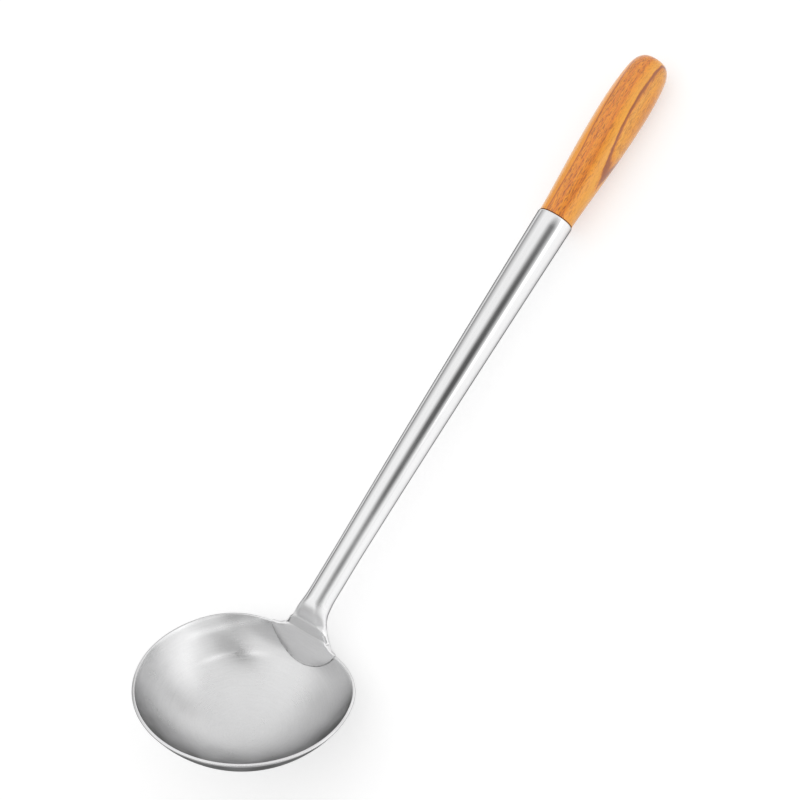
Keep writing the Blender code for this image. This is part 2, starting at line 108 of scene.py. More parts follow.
# A mesh object at the origin, from points in the row frame and a list of face arrays
def addMesh(name, points, faces, smoothAngle=40.0, marks=None):
    mesh = bpy.data.meshes.new(name)
    loops = np.concatenate([f.ravel() for f in faces])
    sizes = np.concatenate([np.full(len(f), f.shape[1]) for f in faces])
    starts = join([0], np.cumsum(sizes)[:-1])
    mesh.vertices.add(len(points))
    mesh.vertices.foreach_set("co", points.astype(np.float32).ravel())
    mesh.loops.add(len(loops))
    mesh.loops.foreach_set("vertex_index", loops.astype(np.int32))
    mesh.polygons.add(len(sizes))
    mesh.polygons.foreach_set("loop_start", starts.astype(np.int32))
    mesh.update(calc_edges=True)
    for mark, values in (marks or {}).items():
        values = values.astype(np.float32).ravel()
        mesh.attributes.new(mark, "FLOAT", "POINT").data.foreach_set("value", values)
    mesh.validate()
    mesh.shade_smooth()
    mesh.set_sharp_from_angle(angle=math.radians(smoothAngle))
    piece = bpy.data.objects.new(name, mesh)
    bpy.context.scene.collection.objects.link(piece)
    return piece


# Quads of a grid whose columns close on themselves; rows run away from the viewer
def gridFaces(rows, columns):
    i, j = np.meshgrid(np.arange(rows - 1), np.arange(columns), indexing="ij")
    k = (j + 1) % columns
    row, after = i * columns, (i + 1) * columns
    return stacked(row + j, row + k, after + k, after + j).reshape(-1, 4)


# The faces of rings that close to a pole at both ends; the two poles come after the rings
def closedFaces(rows, around, inward=False):
    ring = np.arange(around)
    after = np.roll(ring, -1)
    last = (rows - 1) * around
    first = np.full(around, rows * around)
    faces = [
        gridFaces(rows, around),
        stacked(after, ring, first),
        stacked(first + 1, last + ring, last + after),
    ]
    return [f[:, ::-1] for f in faces] if inward else faces


# A profile (radius, height) turned round z: x = r cos a, y = r sin a. Its ends sit on the axis
def turnedMesh(name, radius, height, around, toFrame):
    a = wholeTurn(around)
    r, h = radius[1:-1, None], height[1:-1, None]
    body = stacked(r * np.cos(a), r * np.sin(a), h + 0.0 * a).reshape(-1, 3)
    ends = np.array([[0.0, 0.0, height[0]], [0.0, 0.0, height[-1]]])
    faces = closedFaces(len(radius) - 2, around)
    return addMesh(name, toFrame(join(body, ends)), faces)


# Bowl
bowlPlan = {
    "rimRadius": 0.0608,
    "depth": 0.0353,
    "sheet": 0.0018,
    "outerRound": 0.0006,  # radius of the rim's outer corner
    "innerRound": 0.0004,
    "pressDepth": 0.0067,  # the rim is pushed in beside the neck
    "pressFull": math.radians(22.0),
    "pressReach": math.radians(62.0),
    "pressFade": 0.0150,
    "pressSoftness": 0.35,
    "around": 288,
    "wallRows": 84,
    "cornerRows": 7,
}

sphereRadius = (bowlPlan["rimRadius"] ** 2 + bowlPlan["depth"] ** 2) / (2 * bowlPlan["depth"])
sphereHeight = sphereRadius - bowlPlan["depth"]
rimAngle = math.asin(bowlPlan["rimRadius"] / sphereRadius)


# How far the wall is pushed in: depth times r^2 / (1 + r^10)^(1/5), where r grows from 0 at the reach
# to 1 at the full angle, times a soft ramp (v + sqrt(v^2 + k^2)) / 2 of v = 1 + height / fade
def press(azimuth, height):
    p = bowlPlan
    k = p["pressSoftness"]
    reach = (p["pressReach"] - np.abs(azimuth)) / (p["pressReach"] - p["pressFull"])
    reach = np.maximum(0.0, reach)
    share = reach**2 / (1.0 + reach**10) ** 0.2
    v = 1.0 + height / p["pressFade"]
    ramp = (v + np.sqrt(v**2 + k**2)) / (1.0 + math.sqrt(1.0 + k**2))
    return p["pressDepth"] * share * ramp * smooth((v + 0.6) / 0.6)


# The outer wall: a sphere's point at this angle up from the bottom, drawn in by press()
def skin(azimuth, angle):
    height = sphereHeight - sphereRadius * np.cos(angle)
    radius = sphereRadius * np.sin(angle)
    radius = radius - np.where(radius > 1e-6, press(azimuth, height), 0.0)
    return stacked(radius * np.cos(azimuth), radius * np.sin(azimuth), height)


# Unit normal into the bowl, from the cross product of the two slopes
def skinNormal(azimuth, angle):
    e = 1e-4
    slopeAround = skin(azimuth + e, angle) - skin(azimuth - e, angle)
    slopeUp = skin(azimuth, angle + e) - skin(azimuth, angle - e)
    return unit(np.cross(slopeUp, slopeAround))


# (angle, depth) from the bottom's outside over the square rim to the bottom's inside
def bowlProfile():
    p = bowlPlan
    rows = p["wallRows"]
    lowest = rimAngle / rows
    outer, inner, sheet = p["outerRound"], p["innerRound"], p["sheet"]
    q = evenly(p["cornerRows"], math.pi / 2)
    wall = np.linspace(lowest, rimAngle - outer / sphereRadius, rows)[:-1]
    angle = join(
        wall,
        rimAngle - outer * (1.0 - np.sin(q)) / sphereRadius,
        rimAngle - inner * (1.0 - np.cos(q)) / sphereRadius,
        wall[::-1],
    )
    depth = join(
        np.zeros(len(wall)),
        outer * (1.0 - np.cos(q)),
        sheet - inner * (1.0 - np.sin(q)),
        np.full(len(wall), sheet),
    )
    return angle, depth


# Each ring point is the outer wall's plus its depth times the inward normal
def makeBowl():
    p = bowlPlan
    angle, depth = bowlProfile()
    around = p["around"]
    azimuth = wholeTurn(around)
    azimuth = np.where(azimuth > math.pi, azimuth - 2 * math.pi, azimuth)
    a, t = np.meshgrid(azimuth, angle)
    body = (skin(a, t) + depth[:, None, None] * skinNormal(a, t)).reshape(-1, 3)
    bottom = sphereHeight - sphereRadius
    poles = np.array([[0.0, 0.0, bottom], [0.0, 0.0, bottom + p["sheet"]]])
    points = fromBowl(join(body, poles))
    points[:, 2] = np.maximum(points[:, 2], 0.0)  # the small flat it rests on
    # 1 on the outer skin and 0 inside: the outer skin is painted darker, as painted shade standing in
    #                                   for its dark reflections
    outside = np.repeat(smooth(1.0 - depth / p["outerRound"]), around)
    marks = {"outside": join(outside, [1.0, 0.0])}
    return addMesh("ladle_bowl", points, closedFaces(len(angle), around), marks=marks)


# Handle tube, neck and tongue: one sheet, carried as rings from the bore out over the mouth's lip,
# down the tube, through the pressed neck and over the rim
tubePlan = {
    "pitch": math.radians(34.08),  # over the rim plane
    "rise": 0.02297,  # of the axis, where it passes over the rim
    "length": 0.2506,
    "neckRadius": 0.00775,
    "mouthRadius": 0.01081,
    "taperStart": 0.030,
    "set": 0.0041,  # how far the lower end is bent down
    "setLength": 0.283,
    "sheet": 0.0010,
    "curl": 0.0004,
    "boreDepth": 0.060,
    "boreRows": 14,
    "lipRows": 10,
    "straightRows": 40,
}

neckPlan = {
    "foot": (0.053855, 0.0028),  # x and z of the mid line at the crease
    "pitch": math.radians(80.0),
    "bendRadius": 0.008,
    "flatStart": 0.0125,
    "flatLength": 0.0198,
    "flatPower": 0.8,
    "thickness": 0.0024,
    "flareStart": 0.0055,
    "facetPitch": math.radians(91.7),
    "shoulderSoftness": 0.0036,  # of the change from the crown to the facet
    "shoulderFade": 0.010,
    "cutSoftness": 0.0014,  # of the facet's two sides, and how deep the cut is where it is full
    "cutFull": 0.0012,
    "arcStart": 0.0020,
    "rollLength": 0.0075,
    "waist": (0.0003, -0.0005, 0.0045),  # drawn in by, about this station, over this length
    "hollow": (0.0012, -0.0025, 0.0040),  # the same for the underside
    "finishEnd": 0.011,  # the press's duller finish fades out here, over this length
    "finishFade": 0.010,
    "wideStart": -0.007,  # and above this it reaches round the sides, over this length
    "wideFade": 0.006,
    "finishMargin": (1.5, 13.0),  # in ring steps past the face: below and above wideStart
    "finishBlur": (3.0, 8.0),
    "evenSplit": math.radians(67.5),  # of a section's corner, where nothing cuts it
    "lastSplit": 1.2,
    "pastCut": (0.15, 0.05),  # radians from the cut to the split, on top and below
    "rows": 120,
}

tonguePlan = {
    "creaseHalfWidth": 0.0146,
    "cornerHalfWidth": 0.0226,
    "arcRadius": 0.0259,
    "reach": 0.0145,
    "endThickness": 0.0004,
    "creasePlace": (0.0515, 0.0032),  # x and z of the face at the crease
    "sheet": 0.0005,
    "gap": 0.0001,  # between the tongue and the bowl
    "rollRadius": 0.0019,  # of the neck's side at the crease
    "foldRadius": 0.0012,  # where it wraps the rim
    "cornerRadius": 0.00108,
    "foldPower": 0.8,
    "foldLeg": 0.0012,
    "foldGap": 0.00003,  # least, between the fold's inside and the rim
    "cornerTurn": math.radians(100.0),  # how far round it wraps at the corner; elsewhere half a turn
    "turnFade": 0.35,
    "legFade": 0.3,
    "frameFade": 0.15,  # from the neck's directions to the edge's own
    "sinkFade": 0.12,  # from the shelf's underside to the sheet's own
    "shelfStart": 0.34,
    "shelfHeight": 0.0010,
    "shelfRows": 24,
    "faceRows": 60,
    "endRows": 8,
    "endShare": 0.03,  # of the tongue's length, with closer rows
}

ringCount = {"face": 24, "fold": 16}  # steps on half a ring: across each face, and round the fold


# The tube's axis: a straight line less a cubic droop that fades out along it
def tubeAxis(s):
    p = tubePlan
    droop = p["set"] * np.maximum(0.0, 1.0 - s / p["setLength"]) ** 3
    x = bowlPlan["rimRadius"] + s * math.cos(p["pitch"]) + droop * math.sin(p["pitch"])
    z = p["rise"] + s * math.sin(p["pitch"]) - droop * math.cos(p["pitch"])
    return stacked(x, 0.0 * x, z)


# Its slope: pitch + arc tangent of the droop's own slope, 3 set / setLength (1 - s / setLength)^2
def tubePitch(s):
    p = tubePlan
    left = np.maximum(0.0, 1.0 - s / p["setLength"])
    return p["pitch"] + np.arctan(3 * p["set"] / p["setLength"] * left**2)


# An even cone from where the taper starts to the mouth
def tubeRadius(s):
    p = tubePlan
    share = held((s - p["taperStart"]) / (p["length"] - p["taperStart"]))
    return mix(p["neckRadius"], p["mouthRadius"], share)


# Points at this y and z that lie depth under the bowl's outer skin on the handle's side:
# the skin's x is sqrt(r(z)^2 - y^2), where r is the ball's radius there less press()
def underSkin(y, z, depth):
    def wall(wy, wz):
        ball = np.sqrt(sphereRadius**2 - (wz - sphereHeight) ** 2)
        x = np.sqrt(ball**2 - wy**2)
        for _ in range(6):
            x = np.sqrt((ball - press(np.arctan2(wy, x), wz)) ** 2 - wy**2)
        return x

    def normal(wy, wz):
        e = 1e-5
        slopeY = (wall(wy + e, wz) - wall(wy - e, wz)) / (2 * e)
        slopeZ = (wall(wy, wz + e) - wall(wy, wz - e)) / (2 * e)
        return unit(stacked(-np.ones_like(slopeY), slopeY, slopeZ))

    footY, footZ = y, z
    for _ in range(6):
        n = normal(footY, footZ)
        footY, footZ = y - depth * n[..., 1], z - depth * n[..., 2]
    n = normal(footY, footZ)
    return stacked(wall(footY, footZ) + depth * n[..., 0], y + 0.0 * z, z + 0.0 * y)


# Joins half rings on +y, bottom to top, to their mirror images
def wholeRing(half):
    mirrored = half[:, -2:0:-1] * np.array([1.0, -1.0, 1.0])
    return np.concatenate([half, mirrored], axis=1)


# The lower of two, with a soft change between them: (a + b - sqrt((a - b)^2 + softness^2)) / 2
def softMin(a, b, softness):
    return 0.5 * (a + b - np.sqrt((a - b) ** 2 + softness**2))


# The mid line's corner is where the line up from the crease meets the tube's axis drawn on downwards.
# Gives the crease's point, the corner, and how far the tube and the crease are from it
def neckLayout():
    n = neckPlan
    foot = np.array([n["foot"][0], 0.0, n["foot"][1]])
    start = tubeAxis(np.array(0.0))
    down, out = along(n["pitch"]), along(tubePitch(0.0))
    sides = np.array([[down[0], -out[0]], [down[2], -out[2]]])
    rise, back = np.linalg.solve(sides, [start[0] - foot[0], start[2] - foot[2]])
    return foot, foot + rise * down, -back, rise


neckFoot, neckCorner, toTube, footDrop = neckLayout()


# Point and pitch of the mid line by distance from its corner: a line up from the crease, a round
# bend, and then the tube's axis
def neckPath(d):
    upper = float(tubePitch(0.0))
    bend = neckPlan["pitch"] - upper
    reach = neckPlan["bendRadius"] * math.tan(bend / 2)
    pitch = upper + held((reach - d) / (2 * reach)) * bend
    centre = neckCorner + reach * along(upper) - neckPlan["bendRadius"] * upright(upper)
    arc = centre + neckPlan["bendRadius"] * upright(pitch)
    straight = neckCorner + d[:, None] * along(upper)
    lower = neckCorner + d[:, None] * along(neckPlan["pitch"])
    point = np.where((d < -reach)[:, None], lower, np.where((d < reach)[:, None], arc, straight))
    onTube = d >= toTube
    point = np.where(onTube[:, None], tubeAxis(d - toTube), point)
    pitch = np.where(onTube, tubePitch(d - toTube), pitch)
    return point, pitch


# depth times e^-((d - middle) / length)^2
def dip(d, depth, middle, length):
    return depth * np.exp(-(((d - middle) / length) ** 2))


# Half width of the section and how far its crown, its underside and its widest line are from the
# mid line. The tube opens as sin(share)^power, and a flattened section grows towards pi / sqrt 8 of
# its width. The crown stays on the tube until the pressed facet cuts it: the facet is a plane from
# the crease up to the crown's line
def neckShape(d):
    n, g = neckPlan, tonguePlan
    point, pitch = neckPath(d)
    radius = tubeRadius(d - toTube)
    flat = n["thickness"] / 2
    openShare = held((d - n["flatStart"] + n["flatLength"]) / n["flatLength"])
    opened = np.sin(openShare * math.pi / 2) ** n["flatPower"]
    below = flat + (radius - flat) * opened
    below = below - dip(d, *n["hollow"]) * opened
    spread = 1.0 + (math.pi / math.sqrt(8.0) - 1.0) * (1.0 - opened) ** 2
    halfWidth = np.sqrt(2 * radius**2 - below**2) * spread - dip(d, *n["waist"])
    flare = held((-n["flareStart"] - d) / (footDrop - n["flareStart"]))
    halfWidth = mix(halfWidth, g["creaseHalfWidth"], flare)
    up = upright(pitch)
    crownNormal = upright(float(tubePitch(0.0)))
    crown = (radius - (point - neckCorner) @ crownNormal) / (up @ crownNormal)
    crown = np.where(d >= toTube, radius, crown)
    crease = np.array([g["creasePlace"][0], 0.0, g["creasePlace"][1]])
    facetNormal = upright(n["facetPitch"])
    facet = (crease - point) @ facetNormal / np.maximum(up @ facetNormal, 0.05)
    softness = n["shoulderSoftness"] * smooth((n["flatStart"] - d) / n["shoulderFade"])
    top = np.where(d > n["flatStart"], crown, softMin(crown, facet, softness))
    pressed = smooth((n["arcStart"] - d) / n["rollLength"])
    middle = 0.5 * (top - below) * pressed
    return halfWidth, top, below, middle, pressed, radius, opened


# A quarter of a section is a straight run from its middle and then a corner arc:
# across = run t + swell sin^6 a + reach sin a, up = height cos a, cut off at the limit
runShare = join(evenly(20), np.ones(199))
arcAngle = evenly(200, math.pi / 2)[1:]
cornerAngle = join(np.zeros(20), arcAngle)


def quarter(reach, height, limit, run, swell, softness):
    sine = np.sin(cornerAngle)
    y = run[:, None] * runShare + swell[:, None] * sine**6 + reach[:, None] * sine
    z = height[:, None] * np.cos(cornerAngle)
    return y, mix(z, softMin(z, limit[:, None], softness), smooth(z / (0.5 * limit[:, None])))


# Even steps along each quarter: counts[0] of them up to the split angle and counts[1] past it
def shareOut(y, z, splitAngle, counts):
    rings = []
    a = join(np.linspace(-0.01, 0.0, 20), arcAngle)
    for row in range(len(y)):
        steps = np.hypot(np.diff(y[row]), np.diff(z[row]))
        run = join([0.0], np.cumsum(steps))
        split = np.interp(splitAngle[row], a, run)
        want = join(evenly(counts[0] + 1, split), np.linspace(split, run[-1], counts[1] + 1)[1:])
        rings.append(stacked(np.interp(want, run, y[row]), np.interp(want, run, z[row])))
    return np.array(rings)


# Where the limit cuts the arc, and a little past it, faded in from an even split
def splitAt(limit, height, past, share):
    cut = np.arccos(np.clip(limit / height, -1.0, 1.0))
    cut = np.minimum(cut + past, neckPlan["lastSplit"])
    return mix(neckPlan["evenSplit"], cut, smooth(share / 0.5))


# Rings of the neck, from quarters above and below its widest line
def neckRings(d, inset=0.0):
    point, pitch = neckPath(d)
    halfWidth, top, below, middle, pressed, radius, opened = neckShape(d)
    roll = tonguePlan["rollRadius"]
    face, fold = ringCount["face"], ringCount["fold"]
    pastTop, pastLow = neckPlan["pastCut"]
    reach = mix(radius, roll, pressed)
    spare = halfWidth - reach
    limit = np.maximum(top - middle, 1e-4)
    height = mix(radius, limit, pressed)
    soft = 1e-7 + neckPlan["cutSoftness"] * smooth((height - limit) / neckPlan["cutFull"])
    y, z = quarter(reach, height, limit, spare * pressed, spare * (1.0 - pressed), soft[:, None])
    topPart = shareOut(y, z, splitAt(limit, height, pastTop, pressed), (face, fold // 2))[:, ::-1]
    reach = mix(below + (radius - below) * opened, roll, pressed**2)
    limit = below + middle
    height = mix(reach, limit, pressed)
    spare = halfWidth - reach
    y, z = quarter(reach, height, limit, np.maximum(spare, 0.0), 0.0 * spare, 1e-7)
    lowPart = shareOut(y, z, splitAt(limit, height, pastLow, 1.0 - opened), (face + fold, fold // 2))
    across = np.concatenate([lowPart[..., 0], topPart[:, 1:, 0]], axis=1)
    lowUp, topUp = middle[:, None] - lowPart[..., 1], middle[:, None] + topPart[:, 1:, 1]
    up = np.concatenate([lowUp, topUp], axis=1)
    if inset:
        across, up = across * (1 - inset / radius[:, None]), up * (1 - inset / radius[:, None])
    half = point[:, None] + across[..., None] * acrossWay + up[..., None] * upright(pitch)[:, None]
    return wholeRing(half)


# Rings of the neck, scaled about their middle to another radius
def roundRings(d, radius):
    size = radius / tubeRadius(d - toTube)
    point, _ = neckPath(d)
    return point[:, None] + (neckRings(d) - point[:, None]) * size[:, None, None]


# The tongue's face, by v from 0 at the crease to 1 at the round end and u from 0 at the middle to 1
# at its edge: it lies on the bowl's skin, pulled by u^2 and 1 - u^2 to its edge and middle lines.
# The edge runs over the rim's mid line, raised by (1 - share)^3 of what the crease stands above it
def tongueFace(v):
    p = tonguePlan
    sheet = bowlPlan["sheet"]
    _, top, _, middle, *_ = neckShape(np.array([-footDrop]))
    up = upright(neckPlan["pitch"])
    radius = mix(p["rollRadius"], p["foldRadius"], smooth(v / 0.6))
    radius = mix(radius, p["cornerRadius"], smooth((v - 0.5) / 0.5))
    thin = mix(p["sheet"], p["endThickness"], smooth((v - 0.6) / 0.4))

    def rimMiddle(y):
        x = underSkin(y, 0.0 * y, sheet / 2)[..., 0]
        azimuth = np.arctan2(y, x)
        angle = np.full_like(azimuth, rimAngle)
        inward = skinNormal(azimuth, angle)
        return skin(azimuth, angle) + sheet / 2 * inward, inward

    startY = p["creaseHalfWidth"] - p["rollRadius"]
    start = neckFoot + middle[0] * up + startY * acrossWay
    share = v ** p["foldPower"]
    rim, inward = rimMiddle(mix(startY, p["cornerHalfWidth"], share))
    lift = start - rimMiddle(np.array([startY]))[0][0]
    inward = unit(mix(up[None], inward, smooth(v / 0.5)[:, None]))
    edge = rim + (1.0 - share[:, None]) ** 3 * lift + radius[:, None] * inward

    u = evenly(ringCount["face"] + 1)
    arcMiddle = p["arcRadius"] - p["reach"]
    endAngle = math.asin(p["cornerHalfWidth"] / p["arcRadius"]) * u
    endY, endZ = p["arcRadius"] * np.sin(endAngle), arcMiddle - p["arcRadius"] * np.cos(endAngle)
    crease = neckFoot + top[0] * up
    midZ = mix(crease[2], -p["reach"], v)[:, None]
    y = edge[:, 1:2] * mix(u, endY / endY[-1], v[:, None])
    bow = (endZ - endZ[-1]) / (-p["reach"] - endZ[-1])
    z = edge[:, 2:3] + (midZ - edge[:, 2:3]) * mix(1.0 - u**2, bow, v[:, None])
    bed = sheet + p["gap"]
    tipX = underSkin(np.array(0.0), np.array(-p["reach"]), bed + p["endThickness"])[0]
    middleX = mix(crease[0], tipX, v)
    top = underSkin(y, z, bed + thin[:, None])
    level = mix(middleX[:, None], edge[:, :1], u**2)
    pull = (middleX - top[:, 0, 0])[:, None] * (1.0 - u**2) + (edge[:, :1] - top[:, -1:, 0]) * u**2
    top[..., 0] = mix(level, top[..., 0] + pull, smooth(v / 0.5)[:, None])
    return top, thin, radius, y, z


# Unit directions of the tongue's edge by v, over it and into the bowl, smoothed from a fine set.
# At the crease they turn into the neck's own
def edgeFrame(v):
    fine = evenly(401)
    face = tongueFace(fine)[0]
    ahead = unit(np.gradient(face[:, -1], axis=0))
    out = unit(face[:, -1] - face[:, -2])
    over = unit(out - np.sum(out * ahead, axis=1, keepdims=True) * ahead)
    inward = unit(np.cross(ahead, over))
    inward = inward * np.sign(-inward[:, :1])
    begin = (1.0 - smooth(v / tonguePlan["frameFade"]))[:, None]
    over, inward = atEach(v, fine, over), atEach(v, fine, inward)
    return unit(mix(over, acrossWay, begin)), unit(mix(inward, upright(neckPlan["pitch"]), begin))


# Rings of the tongue by the same v: from the face's edge the sheet rolls over the rim, square to
# the edge line, and ends in a short leg outside. While it is doubled, up to the shelf's start, the
# neck's underside runs out into the shelf on the rim; past it, the sheet has its own underside
def tongueRings(v, doubled):
    p = tonguePlan
    top, thin, radius, y, z = tongueFace(v)
    over, inward = edgeFrame(v)
    path = top[:, -1] - radius[:, None] * inward
    fade = smooth((1.0 - v) / p["turnFade"])
    turnEnd = mix(p["cornerTurn"], math.pi, fade)
    leg = p["foldLeg"] * fade * smooth(v / p["legFade"])
    fold, face = ringCount["fold"], ringCount["face"]
    length = radius * turnEnd + leg
    shares = evenly(fold + 1)

    def foldPoints(r):
        l = length[:, None] * shares
        a = np.minimum(l / radius[:, None], turnEnd[:, None])
        extra = np.maximum(l - (radius * turnEnd)[:, None], 0.0)
        outward = np.cos(a)[..., None] * inward[:, None] + np.sin(a)[..., None] * over[:, None]
        onward = -np.sin(a)[..., None] * inward[:, None] + np.cos(a)[..., None] * over[:, None]
        return path[:, None] + r[:, None, None] * outward + extra[..., None] * onward

    outside = foldPoints(radius)
    upper = [outside[:, ::-1][:, :-1], top[:, ::-1]]
    if doubled:
        share = (v / p["shelfStart"])[:, None, None]
        last = outside[:, -1]
        s = evenly(face + fold + 1)
        neckHalf = neckRings(np.array([-footDrop]))[0, : face + fold + 1]
        shelfY = s * last[-1, 1]
        shelf = underSkin(shelfY, 0.0 * shelfY, -p["gap"])
        shelf[:, 2] = mix(p["shelfHeight"], last[-1, 2], s**2)
        shelf = shelf + (last[-1] - shelf[-1]) * (s**3)[:, None]
        low = mix(neckHalf, shelf, share)
        low = low + (last - low[:, -1])[:, None] * (s**3)[:, None]
        return wholeRing(np.concatenate([low[:, :-1], *upper], axis=1))
    u = evenly(face + 1)
    inside = foldPoints(np.maximum(radius - thin, 0.5 * bowlPlan["sheet"] + p["foldGap"]))
    sink = smooth((v - p["shelfStart"]) / p["sinkFade"])[:, None]
    shelfZ = mix(p["shelfHeight"], inside[:, :1, 2], u**2)
    under = underSkin(y, mix(shelfZ, z, sink), bowlPlan["sheet"] + p["gap"] + 0.0 * y)
    under = under + (inside[:, 0] - under[:, -1])[:, None] * (u**3)[:, None]
    return wholeRing(np.concatenate([under[:, :-1], inside[:, :-1], *upper], axis=1))


# Every ring in one grid: rows run along d from the bore to the crease, and then along the tongue's v
def makeTube():
    t, n, g = tubePlan, neckPlan, tonguePlan
    mouth = toTube + t["length"]
    roll = t["sheet"] + t["curl"]
    bore = np.linspace(mouth - t["boreDepth"], mouth - roll, t["boreRows"])
    turned = np.radians(evenly(t["lipRows"], 90.0))
    lip = mouth - roll * (1.0 - np.cos(turned))
    straight = np.linspace(mouth - roll, n["flatStart"], t["straightRows"])[1:]
    neck = np.linspace(n["flatStart"], -footDrop, n["rows"])[1:-1]
    shelf = evenly(g["shelfRows"], g["shelfStart"])
    single = np.linspace(g["shelfStart"], 1.0 - g["endShare"], g["faceRows"])
    ending = 1.0 - g["endShare"] * np.cos(np.linspace(0.1, 1.0, g["endRows"]) * math.pi / 2)
    points = join(
        neckRings(bore, t["sheet"]),
        roundRings(lip, t["mouthRadius"] - roll + roll * np.sin(turned)),
        neckRings(straight),
        neckRings(neck),
        tongueRings(shelf, True),
        tongueRings(join(single, ending), False),
    )
    rows, count = points.shape[:2]
    half = count // 2
    last = (rows - 1) * count
    # the round end's edge joins the upper half ring to the lower one
    low = np.arange(ringCount["face"] + ringCount["fold"])
    closing = stacked(low, low + 1, half - low - 1, half - low)
    other = stacked((count - low) % count, half + low, half + low + 1, count - low - 1)
    blind = np.arange(count)[None, ::-1]
    faces = [gridFaces(rows, count), last + closing, last + other, blind]
    # where the press left its own finish: the facet and the tongue's face; the facet's mark also paints
    # it lighter, as painted light
    d = join(bore, lip, straight, neck)
    onTongue = rows - len(d)
    pressed = join(smooth((n["finishEnd"] - d) / n["finishFade"]), np.ones(onTongue))
    facet = join(neckShape(d)[4], np.zeros(onTongue))
    wide = join(smooth((d - n["wideStart"]) / n["wideFade"]), np.zeros(onTongue))[:, None]
    past = np.abs(np.arange(count) - half) - ringCount["face"]
    onFace = smooth((mix(*n["finishMargin"], wide) - past) / mix(*n["finishBlur"], wide))
    marks = {"pressed": pressed[:, None] * onFace, "facet": facet[:, None] * onFace}
    return addMesh("ladle_tube", fromBowl(points.reshape(-1, 3)), faces, 50.0, marks)


# Grip
gripPlan = {
    "length": 0.1078,
    "startRadius": 0.01035,
    "maxRadius": 0.0135,
    "maxStation": 0.0731,
    "swellPower": 1.3,
    "endDrop": 0.0032,
    "endLength": 0.013,
    "endFullness": 2.9,
    "tenon": 0.045,
    "chamfer": 0.0010,
    "clearance": 0.0003,
    "seam": 0.0002,  # between the mouth and the wood
    "around": 160,
    "rows": 220,
    "endRows": 60,
}

# How the bowl's frame lies: its tilt and place follow from the butt's face in the record
buttAxis = mounts["grip_butt"]["axis"]
mouthPoint = tubeAxis(np.array(tubePlan["length"]))
mouthPitch = float(tubePitch(tubePlan["length"]))
bowlTilt = mouthPitch - math.atan2(buttAxis[2], buttAxis[0])
bowlTurn = np.array(Matrix.Rotation(bowlTilt, 3, "Y"))
buttPoint = mouthPoint + gripPlan["length"] * along(mouthPitch)
bowlPlace = np.array(mounts["grip_butt"]["pos_m"]) - bowlTurn @ buttPoint


# Points turned by bowlTurn and moved by bowlPlace
def fromBowl(points):
    return points @ bowlTurn.T + bowlPlace


# A power-of-sine swell, a square-law fall past the widest station, and a superelliptic end
def gripRadius(s):
    p = gripPlan
    swell = np.sin(held(s / p["maxStation"]) * math.pi / 2) ** p["swellPower"]
    past = held((s - p["maxStation"]) / (p["length"] - p["maxStation"]))
    end = held((s - p["length"] + p["endLength"]) / p["endLength"])
    radius = mix(p["startRadius"], p["maxRadius"], swell) - p["endDrop"] * past**2
    return radius * (1.0 - end ** p["endFullness"]) ** 0.25


# Lays a turned piece: where its x and z point from an origin in the bowl's frame
def laidAt(origin, xWay, zWay):
    def toFrame(points):
        x, y, z = points.T[..., None]
        return fromBowl(origin + x * xWay + y * acrossWay + z * zWay)

    return toFrame


# The profile runs from the tenon's end past its chamfer and the tube's lip, and then is gripRadius(s)
def makeGrip():
    p, t = gripPlan, tubePlan
    body = np.linspace(p["seam"], p["length"] - p["endLength"], p["rows"])
    quarterTurn = evenly(p["endRows"])[1:] * math.pi / 2
    bend = np.sin(quarterTurn) ** (2.0 / p["endFullness"])
    s = join(body, p["length"] - p["endLength"] * (1.0 - bend))
    lipHole = t["mouthRadius"] - t["sheet"] - t["curl"]
    bore = float(tubeRadius(np.array(t["length"] - p["tenon"]))) - t["sheet"]
    neck, foot, low = lipHole - p["clearance"], bore - p["clearance"], -p["tenon"]
    radius = join([0.0, foot - p["chamfer"], foot, neck], gripRadius(s)[:-1], [0.0])
    height = join([low, low, low + p["chamfer"], p["seam"]], s[:-1], [p["length"]])
    toFrame = laidAt(mouthPoint, -upright(mouthPitch), along(mouthPitch))
    return turnedMesh("ladle_grip", radius, height, p["around"], toFrame)


# Pin on the tube's underside, that holds the grip
pinPlan = {
    "fromMouth": 0.014,
    "headRadius": 0.0019,
    "headHeight": 0.0011,
    "shank": 0.0011,
    "depth": 0.006,
    "seat": 0.0002,  # of the head's foot in the tube, and its straight edge over it
    "around": 48,
    "domeRows": 12,
}


# A domed head on a plain shank: radius and height run from the shank's tip to the top of the dome
def makePin():
    p = pinPlan
    station = np.array(tubePlan["length"] - p["fromMouth"])
    surface = float(tubeRadius(station))
    pitch = float(tubePitch(station))
    tip, foot, edge = surface - p["depth"], surface - p["seat"], surface + p["seat"]
    a = evenly(p["domeRows"], math.pi / 2)
    shank, head = p["shank"], p["headRadius"]
    radius = join([0.0, shank, shank, head], head * np.cos(a))
    height = join([tip, tip, foot, foot], edge + (p["headHeight"] - p["seat"]) * np.sin(a))
    toFrame = laidAt(tubeAxis(station), -along(pitch), -upright(pitch))
    return turnedMesh("ladle_pin", radius, height, p["around"], toFrame)


# Weld beads
weldPlan = {
    "tongueRadius": 0.00045,
    "tongueSink": 0.00032,
    "tongueEnd": 0.96,  # share of the arc that is welded
    "tongueRipple": 0.06,
    "neckRadius": 0.0010,
    "neckHalfWidth": 0.0135,
    "neckRipple": 0.16,
    "neckOut": 0.0002,  # from the shelf's lower line
    "neckDown": 0.0003,
    "ripplePitch": 0.0011,
    "proud": 0.0001,  # past the tongue's edge
    "endLength": 1.6,  # in radii, of a bead's round ends
    "around": 16,
    "rows": 260,
    "lineRows": 60,
    "neckRows": 80,
}


